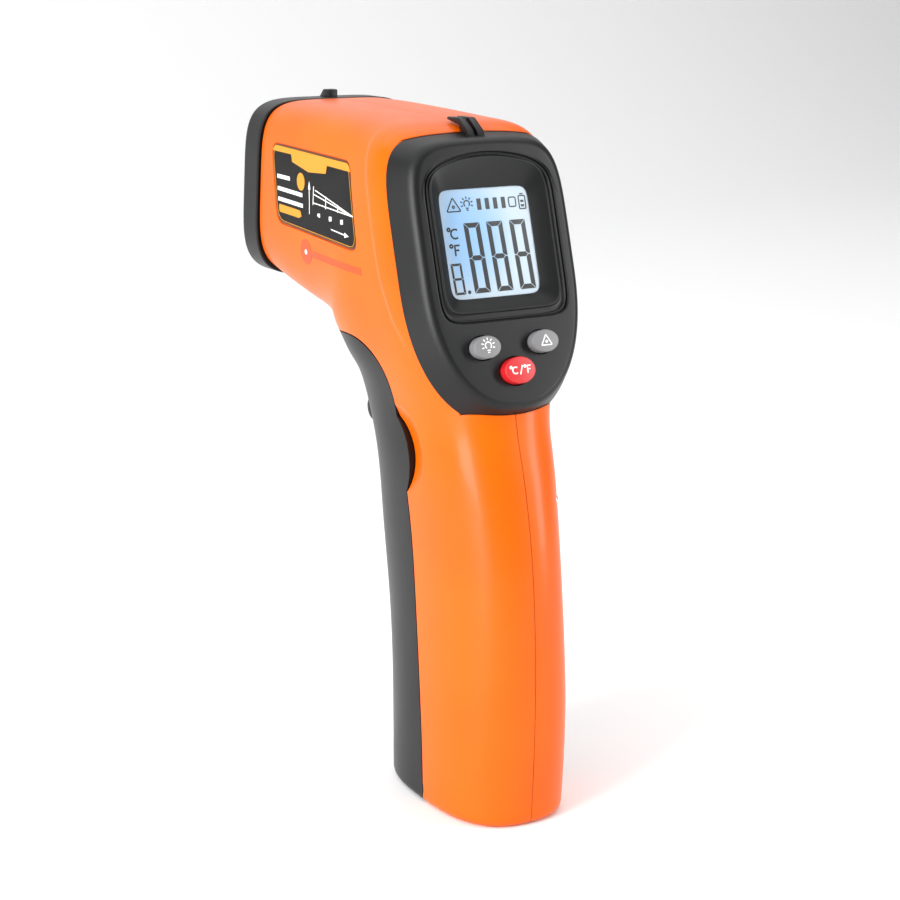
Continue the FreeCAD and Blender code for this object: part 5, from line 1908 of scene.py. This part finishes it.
# ---- labels
@dataclass
class SideLabels:
    """The printed films on the flanks, and the beam mark moulded below them."""

    form: HousingForm
    finishes: Finishes
    outline: tuple
    corner: float
    seat: float = 0.1
    ink_lift: float = 0.1
    ink_depth: float = 0.09
    mark_centre: tuple = (16.6, 118.7)
    mark_radius: float = 2.9
    mark_end: tuple = (-11.8, 118.0)
    mark_width: float = 1.5

    def surface(self, side: int, depth: float) -> Callable[..., Array]:
        """A function that puts y, z and height on a flank, from a depth below its surface.

        Args:
            side: -1 for the left flank, 1 for the right.
            depth: how deep the origin of heights lies.

        Returns:
            The function.
        """
        def place(y: Array, z: Array, lift: Array) -> Array:
            """Points on the flank.

            Args:
                y: y of each point.
                z: z of each point.
                lift: height of each point.

            Returns:
                Points in the model.
            """
            points = self.form.flank(y, z, side, 0.0)
            points[..., 0] += side * (np.asarray(lift) - depth)
            return points
        return place

    def film(self, side: int) -> Piece:
        """The label: a rounded plate with a dark rim, which is painted shadow of its recess.

        Args:
            side: -1 for the left flank, 1 for the right.

        Returns:
            The film.
        """
        name = "left_label" if side < 0 else "right_label"
        place = self.surface(side, self.seat)
        outline = rounded_polygon(self.outline, self.corner, 0.0)
        # the dark plate that shows round the film is painted shadow of the recess
        rim = dress(printed(name + "_rim", [plate(outline, 0.0, place, 0.25, 10)]), self.finishes.rim)
        settle(rim, HOUSING_BODY, "printed_label", name)
        inner = rounded_polygon(self.outline, self.corner, -0.35)
        film = dress(printed(name + "_film", [plate(inner, 0.03, place, 0.05, 14)]), self.finishes.film)
        return settle(film, HOUSING_BODY, "printed_label")

    def sides(self) -> list[tuple[float, float]]:
        """Corners of the band, from the upper front round to the lower front.

        Returns:
            The corners in order.
        """
        upper = [(33.3, 140.9), (32.2, 141.6), (-4.6, 140.6), (-5.9, 139.9), (-6.5, 138.9)]
        lower = [(5.2, 139.2), (5.2, 137.4), (14.5, 136.9), (23.3, 138.5), (23.3, 140.1), (33.6, 140.3)]
        return upper + lower

    def diagram(self, side: int) -> Marks:
        """A plain distance-and-spot drawing: two spreading rays, three uprights and two dimension
        lines with arrow heads, and blank bars where text would be.

        Args:
            side: -1 for the left flank, 1 for the right.

        Returns:
            Points and faces of each mark.
        """
        place = self.surface(side, self.seat)
        focus = (-8.3, 129.5)
        lines = [((11.2, 133.2), focus), ((11.8, 132.2), focus), ((12.2, 130.3), focus),
                 ((12.0, 134.0), (12.4, 129.8)),
                 ((5.6, 132.4), (5.8, 129.6)), ((-0.6, 131.2), (-0.5, 129.5)), ((12.3, 126.0), (-5.4, 125.0)),
                 ((14.3, 134.1), (14.3, 124.6))]
        marks = [ribbon(straight(a, b, per_side=14), 0.24, self.ink_lift, place,
                        thickness=self.ink_depth) for a, b in lines]
        for tip, back in (((13.0, 126.04), (11.0, 125.94)), ((-6.2, 124.96), (-4.2, 125.06)),
                          ((14.3, 134.9), (14.3, 133.1)), ((14.3, 123.9), (14.3, 125.7))):
            marks.append(ribbon(np.array([tip, back]), np.array([0.04, 1.1]), self.ink_lift, place,
                                thickness=self.ink_depth))
        bars = [((31.2, 131.8), (18.0, 131.4)), ((31.0, 129.4), (17.8, 129.0)),
                ((31.3, 134.6), (24.6, 134.5))]
        marks += [ribbon(straight(a, b, per_side=12), 0.9, self.ink_lift, place,
                         thickness=self.ink_depth) for a, b in bars]
        for x in (9.4, 3.4, -2.6):
            marks.append(ribbon(straight((x, 128.2), (x - 0.1, 127.2), per_side=3), 1.3, 0.1, place,
                                thickness=0.09))
        return marks

    def gold_marks(self, side: int) -> Marks:
        """The band, a plain gold block at the foot and a gold disc.

        Args:
            side: -1 for the left flank, 1 for the right.

        Returns:
            Points and faces of each mark.
        """
        place = self.surface(side, self.seat)
        outline = np.concatenate([straight(a, b, per_side=6) for a, b in
                                  zip(self.sides(), self.sides()[1:] + self.sides()[:1])])
        marks = [strip_patch(outline, place)]
        block = rounded_polygon(((30.6, 128.2), (19.2, 127.8), (18.2, 126.0), (30.4, 126.4)), 0.4, steps=4)
        marks.append(plate(block, self.ink_lift, place, self.ink_depth, rings=8))
        marks.append(plate(circle(18.7, 134.4, 2.0, 32), self.ink_lift, place, self.ink_depth, rings=5))
        border = rounded_polygon(self.outline, self.corner, -0.55)
        marks.append(ribbon(border, 0.14, self.ink_lift, place, closed=True, thickness=self.ink_depth))
        return marks

    def build(self) -> None:
        """Both flanks."""
        for side, name in ((-1, "left"), (1, "right")):
            self.film(side)
            gold = printed(name + "_label_gold", self.gold_marks(side))
            settle(dress(gold, self.finishes.gold), HOUSING_BODY, "printed_label")
            white = printed(name + "_label_lines", self.diagram(side))
            settle(dress(white, self.finishes.white_ink), HOUSING_BODY, "printed_label")
            place = self.surface(side, 0.0)
            ring = circle(*self.mark_centre, self.mark_radius, 48)
            beam = straight((self.mark_centre[0] - self.mark_radius, 118.6), self.mark_end, per_side=24)
            mark = printed(name + "_beam_mark", [plate(ring, 0.05, place, 0.15, 8),
                                                 ribbon(beam, self.mark_width, 0.05, place, thickness=0.15)])
            settle(dress(mark, self.finishes.mark), HOUSING_BODY, "orange_shell")
            spot = printed(name + "_beam_spot",
                           [plate(circle(*self.mark_centre, 0.6, 20), 0.08, place, 0.05, 3)])
            settle(dress(spot, self.finishes.white_ink), HOUSING_BODY, "orange_shell")


def strip_patch(outline: Array, place: Callable[..., Array], lift: float = 0.16, thickness: float = 0.15,
                columns: int = 70) -> tuple[Array, Array]:
    """A patch between the upper and lower edge of an outline, in columns along y.

    At each column the outline's highest and lowest crossing give the patch its ends.

    Args:
        outline: closed outline as (y, z).
        place: turns x, y and height into points in the model.
        lift: height above the face.
        thickness: how far the ink reaches down from its top.
        columns: number of columns.

    Returns:
        Points and faces.
    """
    low, high = outline[:, 0].min(), outline[:, 0].max()
    places = np.linspace(low + 0.05, high - 0.05, columns)
    following = np.roll(outline, -1, axis=0)
    span = (outline[:, 0] - places[:, None]) * (following[:, 0] - places[:, None]) <= 0
    run = following[:, 0] - outline[:, 0]
    share = (places[:, None] - outline[:, 0]) / np.where(np.abs(run) < 1e-9, 1e-9, run)
    crossing = outline[:, 1] + np.clip(share, 0, 1) * (following[:, 1] - outline[:, 1])
    top = np.where(span, crossing, -1e9).max(axis=1)
    bottom = np.where(span, crossing, 1e9).min(axis=1)
    section = [(top + (bottom - top) * share, lift) for share in np.linspace(0.0, 1.0, 8)]
    section += [(bottom, lift - thickness), (top, lift - thickness)]
    loops = np.stack([place(places, z, np.full(columns, height)) for z, height in section], axis=1)
    count = len(section)
    faces = grid_faces(columns, count).tolist()
    last = count * (columns - 1)
    faces += [list(range(count))[::-1], list(range(last, last + count))]
    return loops.reshape(-1, 3), faces


# ---- nose
@dataclass
class Nose:
    """The black ring round the nose, the funnel of the infrared lens and the laser's hole."""

    finishes: Finishes
    centre_up: float = 2.2
    front: float = 5.65
    slant: float = 6.8
    depth: float = 8.5
    half_width: float = 20.3
    half_height: float = 21.3
    edge: float = 1.6
    aperture: float = 8.2
    funnel: float = 10.0
    laser_up: float = 12.7
    laser_hole: float = 2.6
    around: int = 320

    def __post_init__(self) -> None:
        """Find the middle of the slanted face from the infrared lens."""
        lens = middle("infrared_lens")
        self.centre = lens + np.array([0.0, self.front - 0.6, self.centre_up])
        self.lens_z = lens[2]

    def ring(self, forward: float, inset: float) -> Array:
        """A loop parallel to the slanted face, a distance forward of it.

        Args:
            forward: distance in front of the face.
            inset: how much smaller the loop is.

        Returns:
            The loop.
        """
        x, y = superellipse(turn(self.around), self.half_width - inset, self.half_height - inset, 4.2, 5.2)
        lean = math.radians(self.slant)
        points = np.stack([x, -y * math.sin(lean), y * math.cos(lean)], axis=1)
        return points + self.centre + np.array([0.0, forward, 0.0])

    def bore(self, radius: float, forward: float) -> Array:
        """A circle round the infrared axis whose front follows the slanted face.

        Args:
            radius: radius of the circle.
            forward: distance in front of the face.

        Returns:
            The circle.
        """
        angle = turn(self.around)
        z = self.lens_z + radius * np.sin(angle)
        y = self.centre[1] + forward - (z - self.centre[2]) * math.tan(math.radians(self.slant))
        return np.stack([radius * np.cos(angle), y, z], axis=1)

    def build(self) -> None:
        """Ring, front sight and the lens."""
        edge = self.edge
        loops = [self.ring(-self.depth + 0.02, 0.35)]
        loops += [self.ring(forward, inset) for forward, inset in bent((-self.depth, 0.3), (-self.depth, 0.0),
                                                                       (-self.depth + 0.4, 0.0), 4)]
        loops += [self.ring(f, 0.0) for f in np.linspace(-self.depth + 1.0, -edge, 6)]
        loops += [self.ring(forward, inset) for forward,
                  inset in bent((-edge + 0.05, 0.0), (0.0, 0.0), (0.0, edge), 9)]
        loops += [self.ring(0.0, inset) for inset in (edge + 0.5, 6.0)]
        loops += [self.bore(radius, forward) for radius, forward in
                  [(self.funnel + 1.2, 0.0), (self.funnel + 0.25, 0.0), (self.funnel, -0.15),
                   (self.aperture + 0.3, -2.2), (self.aperture, -2.5), (self.aperture, -4.0),
                   (self.aperture + 1.2, -4.0)]]
        loops += [self.ring(-3.0, 4.0), self.ring(-self.depth + 0.02, 4.0)]
        ring = skin("nose_ring", np.array(loops), wrap=True)
        hole_z = self.centre[2] + self.laser_up
        carve(ring, (Operation.CUT, rod("laser_hole", self.laser_hole, (0, self.centre[1] - 12, hole_z),
                                        (0, self.centre[1] + 6, hole_z), 64)))
        settle(dress(ring, self.finishes.black), HOUSING_BODY, "black_plastic", "nose_bezel")
        sight = np.array([(41.3, 149.0), (41.3, 153.0), (44.0, 153.0), (46.2, 151.0), (46.2, 149.0)])
        piece = rounded(slice_x("front_sight", sight, -1.3, 1.3), 0.25, 3)
        settle(dress(piece, self.finishes.black), HOUSING_BODY, "black_plastic")
        self.lens()

    def lens(self) -> Piece:
        """The infrared lens: a thin disc whose front carries concentric Fresnel steps.

        Returns:
            The lens.
        """
        low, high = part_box("infrared_lens")
        radius, thickness = (high.x - low.x) / 2 / MM, (high.y - low.y) / MM
        count, depth = 14, 0.22
        profile = [(radius, -thickness / 2), (radius, thickness / 2)]
        for step in range(count):
            outer = (radius - 0.5) * (1 - step / count)
            inner = (radius - 0.5) * (1 - (step + 0.96) / count)
            profile += [(outer, thickness / 2 - depth), (max(inner, 0.01), thickness / 2)]
        piece = lathe("fresnel_lens", profile, middle("infrared_lens"), axis=1, sides=128)
        return settle(dress(piece, self.finishes.lens), HOUSING_BODY, "milky_lens", "infrared_lens")


# ---- trigger
@dataclass
class Trigger:
    """The hooked trigger with its rounded edges and finger ridges."""

    finishes: Finishes
    profile: tuple = ((12.6, 98.6), (12.0, 93.0), (12.5, 87.5), (14.0, 83.6), (15.1, 81.5), (14.2, 79.9),
                      (11.5, 79.7),
                      (6.0, 81.1), (2.0, 84.5), (-0.2, 91.0), (0.3, 98.6), (2.3, 101.2), (6.0, 101.1),
                      (10.2, 99.6))
    half_width: float = 4.8
    edge: float = 0.9
    ridges: int = 7
    ridge_low: float = 84.0
    ridge_high: float = 97.5
    ridge_front: float = 10.5
    ridge_height: float = 0.14

    def build(self) -> Piece:
        """The outline is a closed spline; towards either side it draws in by the edge's quarter
        circle, and its front is waved by shallow ridges.

        Returns:
            The trigger.
        """
        outline = smooth_outline(self.profile, 260, closed=True)
        along = np.roll(outline, -1, axis=0) - np.roll(outline, 1, axis=0)
        along /= np.linalg.norm(along, axis=1, keepdims=True)
        normal = np.stack([-along[:, 1], along[:, 0]], axis=1)
        y, z = outline.T
        front = (smoothstep(y - self.ridge_front) * smoothstep((z - self.ridge_low) / 2.0)
                 * smoothstep((self.ridge_high - z) / 2.0))
        phase = 2 * np.pi * self.ridges * (z - self.ridge_low) / (self.ridge_high - self.ridge_low)
        wave = self.ridge_height * front * (1 - np.cos(phase))
        rise = np.linspace(0.0, np.pi / 2, 7)
        inset = np.concatenate([self.edge * (1 - np.sin(rise)), self.edge * (1 - np.sin(rise[::-1]))])
        x = np.concatenate([-self.half_width + self.edge * (1 - np.cos(rise)),
                            self.half_width - self.edge * (1 - np.cos(rise[::-1]))])
        inner = outline[None] + normal[None] * (inset[:, None] + wave[None] * (inset[:, None] < 0.5))[...,
                                                                                                      None]
        loops = np.concatenate([np.broadcast_to(x[:, None, None], inner.shape[:2] + (1,)), inner], axis=2)
        piece = dress(skin("trigger_lever", loops), self.finishes.satin)
        return settle(piece, TRIGGER_BODY, "black_plastic", "trigger")


# ---- power and small metal
def coil(start: Array, end: Array, radii: tuple[float, float], wire: float, turns: float, axis: int) -> Array:
    """Loops of a helical spring's wire: a circle carried along a helix whose radius runs evenly
    from one value to the other.

    Args:
        start: middle of the first turn.
        end: middle of the last turn.
        radii: first and last radius.
        wire: thickness of the wire.
        turns: number of turns.
        axis: 0, 1 or 2 for X, Y or Z.

    Returns:
        Points as (place along, place round, xyz).
    """
    t = np.linspace(0.0, 1.0, int(turns * 28))
    radius = radii[0] + (radii[1] - radii[0]) * t
    angle = 2 * np.pi * turns * t
    across, rise = [(1, 2), (2, 0), (0, 1)][axis]
    path = start + (end - start) * t[:, None]
    path[:, across] += radius * np.cos(angle)
    path[:, rise] += radius * np.sin(angle)
    return tube_loops(path, np.full(len(t), wire / 2), 10)


@dataclass
class PowerPack:
    """Two cells, their contact springs and the trigger's return spring."""

    finishes: Finishes
    wire: float = 0.5
    nub: float = 0.9
    contact_wide: float = 3.6
    contact_radii: tuple = (3.3, 1.8)
    contact_turns: float = 3.5
    return_radius: float = 1.6
    return_wire: float = 0.45
    return_turns: float = 7.0

    def cell(self, side: int) -> Piece:
        """One AAA cell: a can with rolled ends, a nub at one end and a flat cap at the other.

        Args:
            side: -1 or 1; the two cells lie opposite ways up.

        Returns:
            The cell.
        """
        low, high = (np.array(corner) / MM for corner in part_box("batteries"))
        radius = (high[1] - low[1]) / 2
        x = side * (high[0] - radius)
        nub = self.nub
        base, top = low[2] + nub, high[2] - nub
        profile = [(0.1, 0.0), (radius - 1.2, 0.0), (radius - 0.9, 0.25)]
        profile += bent((radius - 0.6, 0.3), (radius, 0.0), (radius, 0.8), 5)
        height = top - base
        profile += bent((radius, height - 0.8), (radius, height), (radius - 0.7, height), 5)
        profile += [(radius - 0.9, height - 0.3), (2.3, height - 0.3), (1.9, height - 0.2),
                    (1.9, height + nub - 0.25),
                    (1.6, height + nub), (0.1, height + nub)]
        if side > 0:
            profile = [(r, height - h) for r, h in profile[::-1]]
        return lathe("cell", profile, (x, middle("batteries")[1], base), axis=2, sides=72)

    def build(self) -> None:
        """Cells and springs."""
        low, high = (np.array(corner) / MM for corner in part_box("batteries"))
        wrap = CellWrap(low[2], high[2]).material()
        cells = dress(joined("cells", [self.cell(-1), self.cell(1)]), wrap)
        settle(cells, HOUSING_BODY, "battery_wrap", "batteries")
        s_low, s_high = (np.array(corner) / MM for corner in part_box("contact_springs"))
        x, y = s_high[0] - self.contact_wide, (s_low[1] + s_high[1]) / 2
        springs = [
            skin("coil", coil(np.array([-x, y, s_low[2] + 0.3]), np.array([-x, y, s_low[2] + 2.7]),
                              self.contact_radii,
                              self.wire, self.contact_turns, 2)),
            skin("coil", coil(np.array([x, y, s_high[2] - 0.3]), np.array([x, y, s_high[2] - 2.7]),
                              self.contact_radii,
                              self.wire, self.contact_turns, 2))]
        settle(dress(joined("contact_coils", springs), self.finishes.spring), HOUSING_BODY, "spring_steel",
               "contact_springs")
        t_low, t_high = (np.array(corner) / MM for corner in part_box("trigger_spring"))
        centre = (t_low + t_high) / 2
        start, end = centre.copy(), centre.copy()
        start[1], end[1] = t_low[1] + 0.25, t_high[1] - 0.25
        piece = skin("return_coil",
                     coil(start, end, (self.return_radius, self.return_radius), self.return_wire,
                          self.return_turns, 1))
        settle(dress(piece, self.finishes.spring), HOUSING_BODY, "spring_steel", "trigger_spring")


@dataclass
class ShellScrews:
    """Pan-head screws with cross recesses, sunk in the right shell."""

    finishes: Finishes
    places: tuple
    seat: float = 9.0
    head_radius: float = 2.1
    head_height: float = 1.8
    shank_radius: float = 1.0
    tip: float = -8.5

    def screw(self, y: float, z: float) -> Piece:
        """A turned head and shank with a cross sunk into the head.

        Args:
            y: y of its axis.
            z: z of its axis.

        Returns:
            The screw.
        """
        seat, head = self.seat, self.head_radius
        profile = [(0.1, self.tip), (0.5, self.tip), (self.shank_radius, self.tip + 1.2)]
        pitch = 0.8
        for place in np.arange(self.tip + 1.6, seat - 1.0, pitch):
            profile += [(self.shank_radius - 0.12, place), (self.shank_radius, place + pitch / 2)]
        profile += [(self.shank_radius, seat), (head, seat)]
        profile += bent((head, seat + 0.8), (head, seat + self.head_height), (0.9, seat + self.head_height),
                        8)
        profile += [(0.1, seat + self.head_height)]
        screw = lathe("screw", profile, (0.0, y, z), axis=0, sides=48)
        top = seat + self.head_height
        for half_y, half_z in ((1.15, 0.24), (0.24, 1.15)):
            cross = np.array([(y - half_y, z - half_z), (y + half_y, z - half_z), (y + half_y, z + half_z),
                              (y - half_y, z + half_z)])
            carve(screw, (Operation.CUT, slice_x("cross", cross, top - 0.8, top + 1.0)))
        return screw

    def build(self) -> Piece:
        """All the screws as one piece."""
        screws = joined("sunk_screws", [self.screw(y, z) for y, z in self.places])
        return settle(dress(screws, self.finishes.steel), HOUSING_BODY, "plated_steel", "shell_screws")


@dataclass
class KeptNodes:
    """Nodes whose modelled shape is shown as it is, with the finish of each."""

    finishes: Finishes

    def build(self) -> None:
        """Dress every node that no new piece stands for."""
        f = self.finishes
        finish_of = {
            "optical_tube": f.satin, "thermopile_can": f.steel, "sensor_board": f.board,
            "laser_module": f.brass,
            "laser_window": f.window, "window_lens": f.window, "lcd_glass": f.guide, "lcd_backlight": f.guide,
            "contact_strip": f.silicone, "lcd_frame": f.white, "main_board": f.board, "main_chip": f.resin,
            "board_screws": f.steel, "button_mat": f.silicone, "trigger_pin": f.steel,
            "trigger_bracket": f.satin,
            "trigger_switch": f.resin, "door_pin": f.steel, "battery_tray": f.satin,
            "contact_plates": f.spring,
        }
        for node, material in finish_of.items():
            dress(frame["nodes"][node], material)
            LOG.info("%s: kept from the model", node)


# ---- stage
@dataclass
class Studio:
    """A pale floor, soft lights and the camera."""

    camera_place: tuple = (-217.0, -390.3, 184.85)
    camera_target: tuple = (0.0, -14.45, 76.65)
    lens: float = 80.0
    floor_size: float = 3600.0
    curve_start: float = 800.0
    curve_radius: float = 500.0

    def softbox(self, name: str, place: tuple, target: tuple, size: tuple, power: float) -> None:
        """A rectangular light that faces the target.

        Args:
            name: the light's name.
            place: its middle.
            target: the point that it faces.
            size: width and height.
            power: watts.
        """
        light = bpy.data.lights.new(name, "AREA")
        light.shape = "RECTANGLE"
        light.size, light.size_y = size[0] * MM, size[1] * MM
        light.energy = power
        holder = bpy.data.objects.new(name, light)
        bpy.context.scene.collection.objects.link(holder)
        holder.location = Vector(place) * MM
        holder.rotation_euler = (Vector(target) - Vector(place)).to_track_quat("-Z", "Y").to_euler()

    def floor(self) -> None:
        """A wide floor that curves up behind the object into a backdrop."""
        half = self.floor_size / 2
        rise = np.linspace(0.0, np.pi / 2, 24)
        profile_y = np.concatenate([[-half], self.curve_start + self.curve_radius * np.sin(rise),
                                    [self.curve_start + self.curve_radius]])
        profile_z = np.concatenate([[0.0], self.curve_radius * (1 - np.cos(rise)), [half]])
        xs = np.linspace(-half, half, 12)
        y, x = np.meshgrid(profile_y, xs, indexing="ij")
        z = np.broadcast_to(profile_z[:, None], x.shape)
        points = np.stack([x, y, z], axis=2)
        mesh = bpy.data.meshes.new("floor")
        faces = grid_faces(len(profile_y), len(xs), wrap_columns=False)
        mesh.from_pydata((points.reshape(-1, 3) * MM).tolist(), [], faces.tolist())
        mesh.shade_smooth()
        floor = bpy.data.objects.new("floor", mesh)
        bpy.context.scene.collection.objects.link(floor)
        tree = MaterialTree("pale_floor")
        dress(floor, tree.principled({"Base Color": (0.92, 0.92, 0.92),
                                      "Roughness": 0.6 + tree.noise(0.02) * 0.1}))

    def build(self) -> None:
        """Floor, lights, sky and camera."""
        self.floor()
        scene = bpy.context.scene
        scene.view_settings.view_transform = "Standard"
        world = bpy.data.worlds.new("studio")
        scene.world = world
        world.use_nodes = True
        background = world.node_tree.nodes["Background"]
        background.inputs[0].default_value = (1.0, 1.0, 1.0, 1.0)
        background.inputs[1].default_value = 0.32
        self.softbox("top_softbox", (0, 300, 1250), (0, 300, 0), (1900, 1900), 17.0)
        self.softbox("left_softbox", (-520, -170, 260), (0, 0, 90), (240, 460), 4.4)
        self.softbox("right_softbox", (420, -420, 240), (0, 0, 80), (140, 460), 2.2)
        camera = bpy.data.objects.new("camera", bpy.data.cameras.new("camera"))
        bpy.context.scene.collection.objects.link(camera)
        camera.location = Vector(self.camera_place) * MM
        toward = Vector(self.camera_target) - Vector(self.camera_place)
        camera.rotation_euler = toward.to_track_quat("-Z", "Y").to_euler()
        camera.data.lens = self.lens
        camera.data.sensor_width = 36.0
        camera.data.clip_start = 0.01
        bpy.context.scene.camera = camera


def main() -> None:
    """Build every sub-assembly in order."""
    logging.basicConfig(level=logging.INFO, format="%(message)s")
    finishes = Finishes()
    display = display_frame()
    form = HousingForm()
    bezel = DisplayBezel(finishes, display)
    housing = Housing(form, finishes, display, bezel)
    Studio().build()
    housing.build()
    lamp = Key("backlight_button", "backlight_key", "grey_button", 6.5, 4.8, display)
    beam = Key("laser_button", "laser_key", "grey_button", 6.5, 4.8, display)
    unit = Key("unit_button", "unit_key", "red_button", 7.4, 5.7, display)
    bezel.build([lamp, beam, unit])
    lamp.build(finishes.grey_key, finishes.white_ink, Glyphs.bulb(0.0, 0.0, 3.6), 0.24)
    beam.build(finishes.grey_key, finishes.white_ink, Glyphs.beam(0.0, 0.0, 2.6), 0.24)
    slash = [(straight((-0.35, -0.95), (0.35, 0.95)), False)]
    units = Glyphs.degrees(-1.6, 0.0, 1.9, "C") + slash + Glyphs.degrees(1.75, 0.0, 1.9, "F")
    unit.build(finishes.red_key, finishes.white_ink, units, 0.26)
    RearSight(finishes).build()
    DisplayPanel(finishes, display, bezel.floor).build()
    SideLabels(form, finishes, housing.label_outline, housing.label_corner).build()
    Nose(finishes).build()
    Trigger(finishes).build()
    PowerPack(finishes).build()
    ShellScrews(finishes, housing.screws).build()
    KeptNodes(finishes).build()


if __name__ == "__main__":
    main()
